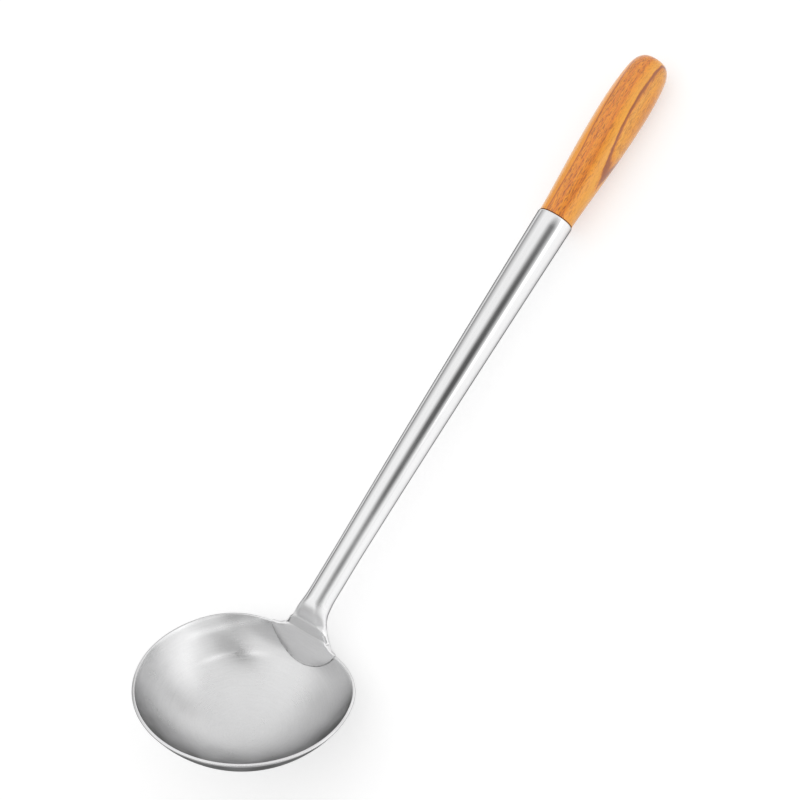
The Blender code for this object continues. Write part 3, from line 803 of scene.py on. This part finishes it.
# Circles square to a path, whose radius ripples along it and rounds off at both ends: with w the
# ripples run so far, it is radius (1 + ripple (|sin pi w| - 0.6) + ripple / 2 sin(1.7 w + 0.6))
def makeBead(name, path, radius, ripple):
    p = weldPlan
    run = join([0.0], np.cumsum(np.linalg.norm(np.diff(path, axis=0), axis=1)))
    even = evenly(p["rows"], run[-1])
    path = atEach(even, run, path)
    wave = even / p["ripplePitch"]
    uneven = np.abs(np.sin(math.pi * wave)) - 0.6 + 0.5 * np.sin(1.7 * wave + 0.6)
    toEnd = np.minimum(np.minimum(even, run[-1] - even) / (p["endLength"] * radius), 1.0)
    size = radius * (1.0 + ripple * uneven) * np.sqrt(held(1.0 - (1.0 - toEnd) ** 2))
    ahead = unit(np.gradient(path, axis=0))
    level = unit(np.cross(ahead, np.array([0.3, 0.0, 1.0])))
    over = np.cross(level, ahead)
    a = wholeTurn(p["around"])
    circle = np.cos(a)[None, :, None] * level[:, None] + np.sin(a)[None, :, None] * over[:, None]
    rings = (path[:, None] + size[:, None, None] * circle)[1:-1]
    points = join(rings.reshape(-1, 3), path[:1], path[-1:])
    return addMesh(name, fromBowl(points), closedFaces(*rings.shape[:2], inward=True), 60.0)


# Along the tongue's round end, sunk into the bowl's skin
def makeTongueWeld():
    p = weldPlan
    half = tongueFace(np.array([1.0 - tonguePlan["endShare"], 1.0]))[0]
    u = evenly(p["lineRows"], p["tongueEnd"])
    inner, line = [atEach(u, evenly(half.shape[1]), row) for row in half]
    ahead = unit(np.gradient(line, axis=0))
    out = line - inner
    out = unit(out - np.sum(out * ahead, axis=1, keepdims=True) * ahead)
    inward = np.cross(ahead, out)
    inward = inward * np.sign(-inward[:, :1])
    line = line - p["tongueSink"] * inward + p["proud"] * out
    mirrored = line[:0:-1] * np.array([1.0, -1.0, 1.0])
    path = join(mirrored, line)
    return makeBead("ladle_tongue_weld", path, p["tongueRadius"], p["tongueRipple"])


# In the corner between the neck's underside and the bowl's outside
def makeNeckWeld():
    p = weldPlan
    y = np.linspace(-p["neckHalfWidth"], p["neckHalfWidth"], p["neckRows"])
    shelf = tongueRings(np.array([tonguePlan["shelfStart"]]), True)[0]
    low = shelf[: ringCount["face"] + ringCount["fold"] + 1]
    x, z = [np.interp(np.abs(y), low[:, 1], low[:, k]) for k in (0, 2)]
    path = stacked(x + p["neckOut"], y, z - p["neckDown"])
    return makeBead("ladle_neck_weld", path, p["neckRadius"], p["neckRipple"])


# Nodes
# Adds a shader node, sets its options, and joins or sets its inputs
def addNode(tree, kind, inputs=None, **options):
    made = tree.nodes.new("ShaderNode" + kind)
    for name, value in options.items():
        setattr(made, name, value)
    for key, value in (inputs or {}).items():
        if isinstance(value, bpy.types.NodeSocket):
            tree.links.new(value, made.inputs[key])
        else:
            made.inputs[key].default_value = value
    return made


def calc(tree, operation, *values):
    return addNode(tree, "Math", dict(enumerate(values)), operation=operation).outputs[0]


def vectorMath(tree, operation, a, b):
    return addNode(tree, "VectorMath", {0: a, 1: b}, operation=operation).outputs


def times(tree, value, *factors):
    for factor in factors:
        value = calc(tree, "MULTIPLY", value, factor)
    return value


# Value plus each mask times its share
def addShares(tree, value, *terms):
    for mask, share in terms:
        value = calc(tree, "MULTIPLY_ADD", mask, share, value)
    return value


# Value plus share times a mask's distance from its middle, for each mask
def shift(tree, value, *terms):
    centred = [(calc(tree, "SUBTRACT", mask, 0.5), share) for mask, share in terms]
    return addShares(tree, value, *centred)


# start at low, end at high, with an even or a smooth step between them
def rescale(tree, value, low, high, start=0.0, end=1.0, steps="SMOOTHSTEP"):
    inputs = {"Value": value, "From Min": low, "From Max": high, "To Min": start, "To Max": end}
    return addNode(tree, "MapRange", inputs, interpolation_type=steps).outputs[0]


# stops: place and colour, or place and grey
def colourRamp(tree, value, stops, steps="LINEAR"):
    made = addNode(tree, "ValToRGB", {"Fac": value})
    made.color_ramp.interpolation = steps
    points = made.color_ramp.elements
    while len(points) < len(stops):
        points.new(0.5)
    for point, (place, colour) in zip(points, stops):
        point.position = place
        point.color = (*colour, 1.0) if isinstance(colour, tuple) else (colour, colour, colour, 1.0)
    return made.outputs["Color"]


def blend(tree, share, a, b, kind="MIX"):
    made = addNode(tree, "Mix", {0: share, 6: a, 7: b}, data_type="RGBA", blend_type=kind)
    return made.outputs[2]


def combine(tree, kind, *values):
    return addNode(tree, "Combine" + kind, dict(enumerate(values))).outputs[0]


def attribute(tree, name):
    return addNode(tree, "Attribute", attribute_name=name).outputs["Fac"]


# Object coordinates, shifted and turned about y into a piece's own frame
def ownCoordinates(tree, origin, pitch):
    turned = np.array(Matrix.Rotation(pitch, 3, "Y"))
    return addNode(tree, "Mapping", {
        "Vector": addNode(tree, "TexCoord").outputs["Object"],
        "Location": tuple(-(turned @ origin)),
        "Rotation": (0.0, pitch, 0.0),
    }).outputs[0]


def newGroup(name, inputs, outputs):
    group = bpy.data.node_groups.new(name, "ShaderNodeTree")
    for socket, kind, value in inputs:
        made = group.interface.new_socket(socket, in_out="INPUT", socket_type="NodeSocket" + kind)
        if value is not None:
            made.default_value = value
    for socket in outputs:
        group.interface.new_socket(socket, in_out="OUTPUT", socket_type="NodeSocketFloat")
    return group, group.nodes.new("NodeGroupInput").outputs, group.nodes.new("NodeGroupOutput").inputs


# Noise drawn out along a direction; Mask rises from 0 at Low to 1 at High
def makeStreaks():
    group, given, result = newGroup("streaks", [
        ("Vector", "Vector", None), ("Stretch", "Vector", (1.0, 1.0, 1.0)),
        ("Low", "Float", 0.35), ("High", "Float", 0.65),
    ], ["Mask"])
    drawn = vectorMath(group, "MULTIPLY", given["Vector"], given["Stretch"])[0]
    noise = addNode(group, "TexNoise", {"Vector": drawn, "Scale": 1.0, "Detail": 3.0, "Roughness": 0.6})
    mask = rescale(group, noise.outputs["Fac"], given["Low"], given["High"], steps="LINEAR")
    group.links.new(mask, result["Mask"])
    return group


# Grain: fine even noise. Smudge: broad patches, as from wiping and handling
def makeWear():
    group, given, result = newGroup("wear", [
        ("Vector", "Vector", None), ("Grain Size", "Float", 0.0006), ("Smudge Size", "Float", 0.02),
    ], ["Grain", "Smudge"])
    for name, detail, low, high in [("Grain", 2.0, 0.3, 0.7), ("Smudge", 3.0, 0.35, 0.65)]:
        often = calc(group, "DIVIDE", 1.0, given[name + " Size"])
        settings = {"Vector": given["Vector"], "Scale": often, "Detail": detail}
        noise = addNode(group, "TexNoise", settings).outputs["Fac"]
        group.links.new(rescale(group, noise, low, high, steps="LINEAR"), result[name])
    return group


streaksGroup = makeStreaks()
wearGroup = makeWear()


# A group's node with its values set
def useGroup(tree, group, vector, values):
    made = addNode(tree, "Group", node_tree=group)
    tree.links.new(vector, made.inputs["Vector"])
    for name, value in values.items():
        made.inputs[name].default_value = value
    return made.outputs


streakPlans = {  # noise steps per metre along x, y and z, and where the mask starts and ends
    "spun": ((2600.0, 5.0, 5.0), 0.3, 0.7),  # in radius and direction
    "spunWide": ((700.0, 3.0, 3.0), 0.35, 0.65),
    "rubbed": ((260.0, 90.0, 90.0), 0.40, 0.80),
    "drawn": ((25.0, 2400.0, 2400.0), 0.3, 0.7),
    "pressed": ((2200.0, 60.0, 2200.0), 0.3, 0.7),
    "weld": ((900.0, 900.0, 900.0), 0.35, 0.65),
    "burnt": ((260.0, 260.0, 260.0), 0.55, 0.68),
    "pin": ((2500.0, 60.0, 2500.0), 0.3, 0.7),
    "slowGrain": ((22.0, 110.0, 110.0), 0.3, 0.7),
    "quickGrain": ((90.0, 700.0, 700.0), 0.3, 0.7),
    "ringLines": ((8.0, 2300.0, 1.0), 0.50, 0.72),  # in x and ring level
    "pores": ((230.0, 1500.0, 1500.0), 0.53, 0.60),
    "finePores": ((520.0, 3000.0, 3000.0), 0.50, 0.62),
}


def streaks(tree, vector, name):
    stretch, low, high = streakPlans[name]
    return useGroup(tree, streaksGroup, vector, {"Stretch": stretch, "Low": low, "High": high})["Mask"]


def wear(tree, vector, grainSize, smudgeSize):
    made = useGroup(tree, wearGroup, vector, {"Grain Size": grainSize, "Smudge Size": smudgeSize})
    return made["Grain"], made["Smudge"]


# Materials
# Tones multiply the grey, depths are in metres, and edgeTint is what is left at a grazing angle
plainSteel = {
    "grainSize": 0.0005, "streakTone": 0.05, "grainTone": 0.05, "smudgeTone": 0.05,
    "streakRough": 0.05, "grainDepth": 0.0000020,
}
finishPlans = {
    "bowl": {
        **plainSteel, "grey": 0.78, "roughness": 0.32, "edgeTint": 0.10, "grainSize": 0.0006,
        "smudgeSize": 0.018, "streakRough": 0.06, "smudgeRough": 0.08, "streakDepth": 0.0000060,
    },
    "tube": {
        **plainSteel, "grey": 0.88, "roughness": 0.10, "edgeTint": 0.08, "smudgeSize": 0.03,
        "streakTone": 0.03, "grainTone": 0.03, "smudgeTone": 0.03, "streakRough": 0.04,
        "smudgeRough": 0.05, "streakDepth": 0.0000020, "grainDepth": 0.0000010,
    },
    "weld": {
        **plainSteel, "grey": 0.62, "roughness": 0.36, "edgeTint": 0.25, "smudgeSize": 0.0022,
        "grainTone": 0.10, "smudgeTone": 0.35, "smudgeRough": 0.15, "streakDepth": 0.0000100,
        "grainDepth": 0.0000100,
    },
    "pin": {
        **plainSteel, "grey": 0.74, "roughness": 0.24, "edgeTint": 0.20, "grainSize": 0.0004,
        "smudgeSize": 0.002, "smudgeRough": 0.06, "streakDepth": 0.0000040,
    },
}


def newMaterial(name):
    made = bpy.data.materials.new(name)
    made.use_nodes = True
    tree = made.node_tree
    return made, tree, tree.nodes["Principled BSDF"]


# Puts a steel finish on a material from its streaks; more moves the tone, roughness and height
def steelFinish(tree, shader, plan, vector, streak, toneMore=(), roughMore=(), heightMore=()):
    grain, smudge = wear(tree, vector, plan["grainSize"], plan["smudgeSize"])
    masks = {"streak": streak, "grain": grain, "smudge": smudge}
    tone = shift(tree, 1.0, *[(mask, plan[name + "Tone"]) for name, mask in masks.items()])
    grey = times(tree, addShares(tree, tone, *toneMore), plan["grey"])
    colour = combine(tree, "Color", grey, grey, times(tree, grey, 1.004))
    rough = plan["roughness"]
    rough = shift(tree, rough, (streak, plan["streakRough"]), (smudge, plan["smudgeRough"]))
    height = times(tree, streak, plan["streakDepth"])
    height = addShares(tree, height, (grain, plan["grainDepth"]), *heightMore)
    bump = addNode(tree, "Bump", {"Height": height, "Strength": 1.0, "Distance": 1.0})
    tree.links.new(colour, shader.inputs["Base Color"])
    tree.links.new(addShares(tree, rough, *roughMore), shader.inputs["Roughness"])
    tree.links.new(bump.outputs[0], shader.inputs["Normal"])
    shader.inputs["Metallic"].default_value = 1.0
    edge = plan["edgeTint"]
    shader.inputs["Specular Tint"].default_value = (edge, edge, edge, 1.0)


# painted highlight: besides their bump, the two ridges are painted 26% lighter, standing in for bright
# reflected streaks
bowlMarksAndHighlights = {  # two faint ridges in the bowl beside the neck, each along part of a ring
    "rings": [(0.0551, 0.0011), (0.0446, 0.0012)],  # radius and width
    "azimuth": math.radians(50.0),
    "from": math.radians(32.0),  # to either side, where they start and where they are full
    "full": math.radians(8.0),
    "polish": (-0.0010, -0.0003),  # heights where the rim's polish starts and is full
    "climb": 0.7,  # metres of radius that a metre of height counts as, in the streaks
    "leastRadius": 0.0005,
}


# Spun steel: streaks run round the bowl's axis, crossed by faint rubbing marks; the rim is polished and
# painted a little lighter, as painted highlight, and the outer skin is painted darker, as painted
# shade.
# Two faint ridges beside the neck are also painted lighter, as painted highlight streaks; a ridge's
# height is e^-((radius - ring) / width)^2
def bowlMaterial():
    m = bowlMarksAndHighlights
    made, tree, shader = newMaterial("spunSteel")
    vector = ownCoordinates(tree, bowlPlace, -bowlTilt)
    x, y, z = addNode(tree, "SeparateXYZ", {0: vector}).outputs
    radius = calc(tree, "SQRT", calc(tree, "ADD", times(tree, x, x), times(tree, y, y)))
    radius = calc(tree, "MAXIMUM", radius, m["leastRadius"])
    outward = [calc(tree, "DIVIDE", part, radius) for part in (x, y)]
    spun = combine(tree, "XYZ", calc(tree, "ADD", radius, times(tree, z, m["climb"])), *outward)
    streak, wideStreak, rubbed = [streaks(tree, spun, name) for name in ("spun", "spunWide", "rubbed")]
    aside = calc(tree, "ABSOLUTE", calc(tree, "SUBTRACT", calc(tree, "ARCTAN2", y, x), m["azimuth"]))
    marks = 0.0
    for ring, width in m["rings"]:
        off = calc(tree, "DIVIDE", calc(tree, "SUBTRACT", radius, ring), width)
        marks = calc(tree, "ADD", marks, calc(tree, "EXPONENT", times(tree, off, off, -1.0)))
    # the ridges' mask: a real bump, and also a painted highlight that raises their grey
    marks = times(tree, marks, rescale(tree, aside, m["from"], m["full"]))
    # the rim is polished (lower roughness) and also painted 6% lighter, as painted highlight
    rimPolishAndHighlight = rescale(tree, z, *m["polish"])
    # painted shade: this mark darkens the outer skin's grey by 40%, standing in for its dark
    # reflections
    outside = attribute(tree, "outside")
    steelFinish(
        tree, shader, finishPlans["bowl"], vector, streak,
        toneMore=[
            (wideStreak, 0.03), (rubbed, -0.03), (rimPolishAndHighlight, 0.06), (outside, -0.40), (marks, 0.26),
        ],
        roughMore=[(rimPolishAndHighlight, -0.08), (marks, -0.06)],
        heightMore=[(wideStreak, 0.000008), (marks, 0.00003)],
    )
    return made


# Drawn tube: faint streaks along it, and duller ones across the pressed faces, beside the crease; the
# facet is duller and also painted lighter, as painted light
def tubeMaterial():
    made, tree, shader = newMaterial("drawnSteel")
    middle = float(tubePitch(np.array(0.5 * tubePlan["length"])))
    vector = ownCoordinates(tree, fromBowl(tubeAxis(np.array(0.0))), middle - bowlTilt)
    drawn, across = streaks(tree, vector, "drawn"), streaks(tree, vector, "pressed")
    pressed, facet = attribute(tree, "pressed"), attribute(tree, "facet")
    streak = addNode(tree, "Mix", {0: pressed, 2: drawn, 3: across}, data_type="FLOAT").outputs[0]
    pressedStreak = times(tree, pressed, across)
    # painted light: the facet's grey is raised by 10%, besides its higher roughness
    steelFinish(
        tree, shader, finishPlans["tube"], vector, streak,
        toneMore=[(facet, 0.10), (pressedStreak, 0.05)],
        roughMore=[(pressed, 0.28), (facet, 0.26)],
        heightMore=[(pressedStreak, 0.000005)],
    )
    return made


# Fused metal, left with heat-dark patches
def weldMaterial():
    made, tree, shader = newMaterial("weldSteel")
    vector = ownCoordinates(tree, bowlPlace, -bowlTilt)
    streak, burnt = streaks(tree, vector, "weld"), streaks(tree, vector, "burnt")
    more = {"toneMore": [(burnt, -0.55)], "roughMore": [(burnt, 0.2)]}
    steelFinish(tree, shader, finishPlans["weld"], vector, streak, **more)
    return made


def pinMaterial():
    made, tree, shader = newMaterial("pinSteel")
    vector = ownCoordinates(tree, fromBowl(mouthPoint), mouthPitch - bowlTilt)
    steelFinish(tree, shader, finishPlans["pin"], vector, streaks(tree, vector, "pin"))
    return made


woodPlan = {
    "climbLength": 0.105,
    "climb": [(0.0, 0.02), (0.28, 0.0), (0.43, 0.24), (0.58, 0.72), (0.75, 0.83), (0.95, 1.0)],
    "ringShift": 0.0041,  # how far the growth rings climb from the grip's mouth to its butt
    "wobble": 0.0009,
    "quickWobble": 0.35,  # of the wobble
    "lowest": -0.0140,  # ring levels at the two ends of the colour ramps
    "highest": 0.0180,
    "vein": (0.0116, 0.0124),  # ring levels where the vein starts
    "lines": (0.16, 0.45),  # how strong the fine lines are, and what they gain past the vein
    "pores": 0.95,
    "finePores": (0.10, 0.35),  # the same, with what they gain where it is porous
    "poreDepth": -0.00003,
    "poreBump": 0.7,
    "grainSize": 0.0007,
    "smudgeSize": 0.02,
    "grainTone": 0.08,
    "smudgeTone": 0.06,
    "smudgeRough": 0.1,
    "coat": 0.9,
    "coatLevel": 1.54,  # index of refraction
    "coatRoughness": 0.18,
    "roughness": 0.48,
}

woodColours = {
    "golden": (0.98, 0.345, 0.010),
    "pale": (1.0, 0.445, 0.040),
    "deep": (0.84, 0.235, 0.008),
    "stripe": (0.42, 0.105, 0.011),
    "vein": (0.33, 0.080, 0.012),
}

woodRings = [  # ring level in millimetres and its colour
    (-13.5, "golden"), (-9.6, "deep"), (-9.0, "pale"), (-3.3, "golden"), (-2.6, "stripe"),
    (-2.1, "deep"), (-1.2, "golden"), (2.6, "deep"), (3.1, "golden"), (6.8, "deep"),
    (7.6, "golden"), (11.6, "pale"), (12.0, "golden"), (12.2, "vein"), (12.9, "stripe"),
    (13.4, "golden"), (14.2, "pale"), (17.5, "golden"),
]

woodPores = [  # ring level in millimetres and how porous it is
    (-13.0, 0.5), (-9.5, 0.9), (-8.5, 0.2), (-3.2, 0.12), (-2.4, 1.0), (6.5, 0.9),
    (9.5, 0.35), (11.5, 0.15), (12.3, 0.8), (14.0, 0.5),
]


# Growth rings stand square to y and climb along the grip, so that the swell cuts them into long
# arches: ring level = -y + ringShift times an S of x + wobble. Colours follow the level, and pores are
# dashes drawn out along x
def woodMaterial():
    p = woodPlan
    made, tree, shader = newMaterial("lacqueredWood")
    vector = ownCoordinates(tree, fromBowl(mouthPoint), mouthPitch - bowlTilt)
    x, y, _ = addNode(tree, "SeparateXYZ", {0: vector}).outputs
    climb = colourRamp(tree, calc(tree, "DIVIDE", x, p["climbLength"]), p["climb"], "B_SPLINE")
    slow, quick = streaks(tree, vector, "slowGrain"), streaks(tree, vector, "quickGrain")
    level = addShares(tree, times(tree, y, -1.0), (climb, p["ringShift"]))
    level = shift(tree, level, (slow, p["wobble"]), (quick, p["quickWobble"] * p["wobble"]))
    ringLevel = rescale(tree, level, p["lowest"], p["highest"], steps="LINEAR")

    def at(millimetres):
        return (millimetres / 1000 - p["lowest"]) / (p["highest"] - p["lowest"])

    tone = colourRamp(tree, ringLevel, [(at(ring), woodColours[name]) for ring, name in woodRings])
    porous = colourRamp(tree, ringLevel, [(at(ring), share) for ring, share in woodPores])
    # fine lines that follow the rings, closest together past the vein
    pastVein = rescale(tree, level, *p["vein"])
    lines = streaks(tree, combine(tree, "XYZ", x, level, 0.0), "ringLines")
    least, gain = p["lines"]
    lines = times(tree, lines, addShares(tree, least, (pastVein, gain)))
    pores = times(tree, streaks(tree, vector, "pores"), times(tree, porous, p["pores"]))
    least, gain = p["finePores"]
    finePores = times(tree, streaks(tree, vector, "finePores"), addShares(tree, least, (porous, gain)))
    for share in (lines, pores, finePores):
        tone = blend(tree, share, tone, (*woodColours["stripe"], 1.0))
    grain, smudge = wear(tree, vector, p["grainSize"], p["smudgeSize"])
    light = shift(tree, 1.0, (grain, p["grainTone"]), (smudge, p["smudgeTone"]))
    tone = blend(tree, 1.0, tone, combine(tree, "Color", light, light, light), "MULTIPLY")
    tree.links.new(tone, shader.inputs["Base Color"])
    height = times(tree, calc(tree, "MAXIMUM", pores, finePores), p["poreDepth"])
    bump = addNode(tree, "Bump", {"Height": height, "Strength": p["poreBump"], "Distance": 1.0})
    tree.links.new(bump.outputs[0], shader.inputs["Normal"])
    rough = shift(tree, p["roughness"], (smudge, p["smudgeRough"]))
    tree.links.new(rough, shader.inputs["Roughness"])
    shader.inputs["Coat Weight"].default_value = p["coat"]
    shader.inputs["Coat Roughness"].default_value = p["coatRoughness"]
    shader.inputs["Coat IOR"].default_value = p["coatLevel"]
    return made


# Pieces
weldFinish = weldMaterial()
pieces = [
    (makeBowl(), bowlMaterial(), "bowl", "bowl_steel"),
    (makeTube(), tubeMaterial(), "handle_tube", "tube_steel"),
    (makeGrip(), woodMaterial(), "grip", "grip_wood"),
    (makePin(), pinMaterial(), "grip_pin", "pin_steel"),
    (makeTongueWeld(), weldFinish, "tongue_weld", "weld_steel"),
    (makeNeckWeld(), weldFinish, "neck_weld", "weld_steel"),
]
for piece, material, node, slot in pieces:
    piece.data.materials.append(material)
    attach(piece, "root")
    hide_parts(node)
print("pieces made:", ", ".join(piece.name for piece, *_ in pieces))


# Studio
studioPlan = {
    "cameraPlace": (-0.227116, -0.852924, 1.553175),
    "cameraTurn": (22.16974, 21.50690, -56.24250),
    "lens": 144.0,
    "floorSide": 6.0,
    "floorDrop": 0.0002,
    "floorTone": 0.62,
    "floorRoughness": 0.9,
    "floorGlow": 0.50,
    "plainLight": 0.90,
    "gaps": [  # dark places by the camera: towards, stretched by, darkest level, and from and to
        ((0.152, -0.565, 0.810), (3.2, 1.0, 1.0), 0.11, 0.11, 0.72),
        ((-0.28, -0.62, 0.73), (1.0, 1.0, 1.0), 0.58, 0.05, 0.44),
    ],
    "dimWay": (-1.0, -0.1, -0.5),  # towards the room's dim side
    "dimSide": {"low": 0.0, "high": 0.30, "end": 0.46},
    "fall": [(5, 0.18), (10, 0.34), (20, 0.54), (30, 0.73), (48, 0.99)],  # degrees from +y and light
    "lean": -0.15,
    "keyPlace": (0.80, -1.17, 0.36),
    "keyAim": (0.0, 0.0, 0.02),
    "keySize": (1.45, 0.6),
    "keyPower": 1.0,
}


def inScene(name, data):
    made = bpy.data.objects.new(name, data)
    bpy.context.scene.collection.objects.link(made)
    return made


def makeCamera():
    data = bpy.data.cameras.new("camera")
    data.lens = studioPlan["lens"]
    data.sensor_width = 36.0
    data.clip_start = 0.05
    data.clip_end = 50.0
    camera = inScene("camera", data)
    camera.location = studioPlan["cameraPlace"]
    camera.rotation_euler = [math.radians(a) for a in studioPlan["cameraTurn"]]
    bpy.context.scene.camera = camera


# Glossy and transmission rays as one mask, and whether a ray comes from the camera
def seenRays(tree):
    path = addNode(tree, "LightPath").outputs
    mirrored = calc(tree, "MAXIMUM", path["Is Glossy Ray"], path["Is Transmission Ray"])
    return mirrored, path["Is Camera Ray"]


# A plain white room. Metal sees it with dark gaps where the camera and its stand are, a dim side and
# a fall towards the far wall: level = gaps(distance from their middles) times side(share along dimWay)
# times fall(angle to +y) times (1 + lean x)
def makeWorld():
    p = studioPlan
    world = bpy.data.worlds.new("studio")
    world.use_nodes = True
    bpy.context.scene.world = world
    tree = world.node_tree
    tree.nodes.clear()
    direction = addNode(tree, "TexCoord").outputs["Generated"]
    gaps = 1.0
    for towards, stretch, darkest, start, end in p["gaps"]:
        middle = unit(np.array(towards)) * stretch
        stretched = vectorMath(tree, "MULTIPLY", direction, stretch)[0]
        away = vectorMath(tree, "DISTANCE", stretched, tuple(middle))["Value"]
        gaps = times(tree, gaps, rescale(tree, away, start, end, darkest, 1.0))
    sideways = vectorMath(tree, "DOT_PRODUCT", direction, p["dimWay"])["Value"]
    side = rescale(tree, sideways, start=1.0, **p["dimSide"])
    x, y, _ = addNode(tree, "SeparateXYZ", {0: direction}).outputs
    toFar = calc(tree, "DIVIDE", calc(tree, "ARCCOSINE", y), math.pi)
    fall = colourRamp(tree, toFar, [(degrees / 180, light) for degrees, light in p["fall"]])
    lean = addShares(tree, 1.0, (calc(tree, "MAXIMUM", x, 0.0), p["lean"]))
    pattern = times(tree, times(tree, gaps, side), times(tree, fall, lean))
    mirrored, direct = seenRays(tree)
    inMetal, plain, white = [
        addNode(tree, "Background", {"Color": (1.0, 1.0, 1.0, 1.0), "Strength": level}).outputs[0]
        for level in (pattern, p["plainLight"], 1.0)
    ]
    lit = addNode(tree, "MixShader", {0: mirrored, 1: plain, 2: inMetal}).outputs[0]
    lit = addNode(tree, "MixShader", {0: direct, 1: lit, 2: white}).outputs[0]
    addNode(tree, "OutputWorld", {0: lit})


def makeFloor():
    p = studioPlan
    side, tone = p["floorSide"] / 2, p["floorTone"]
    mesh = bpy.data.meshes.new("floor")
    corners = [(-side, -side, 0), (side, -side, 0), (side, side, 0), (-side, side, 0)]
    mesh.from_pydata(corners, [], [(0, 1, 2, 3)])
    floor = inScene("floor", mesh)
    floor.location.z = -p["floorDrop"]
    made, tree, shader = newMaterial("floorPaper")
    shader.inputs["Base Color"].default_value = (tone, tone, tone, 1.0)
    shader.inputs["Roughness"].default_value = p["floorRoughness"]
    shader.inputs["Specular IOR Level"].default_value = 0.0
    seen = calc(tree, "MAXIMUM", *seenRays(tree))
    glow = addNode(tree, "Emission", {"Strength": times(tree, seen, p["floorGlow"])})
    both = addNode(tree, "AddShader", {0: shader.outputs["BSDF"], 1: glow.outputs[0]})
    tree.links.new(both.outputs[0], tree.nodes["Material Output"].inputs["Surface"])
    mesh.materials.append(made)


def makeKeyLight():
    p = studioPlan
    data = bpy.data.lights.new("keyLight", "AREA")
    data.shape = "RECTANGLE"
    data.size, data.size_y = p["keySize"]
    data.energy = p["keyPower"]
    lamp = inScene("keyLight", data)
    lamp.location = p["keyPlace"]
    direction = Vector(p["keyAim"]) - Vector(p["keyPlace"])
    lamp.rotation_euler = direction.to_track_quat("-Z", "Y").to_euler()


makeCamera()
makeWorld()
makeFloor()
makeKeyLight()
bpy.context.scene.view_settings.view_transform = "Standard"
print("studio made")
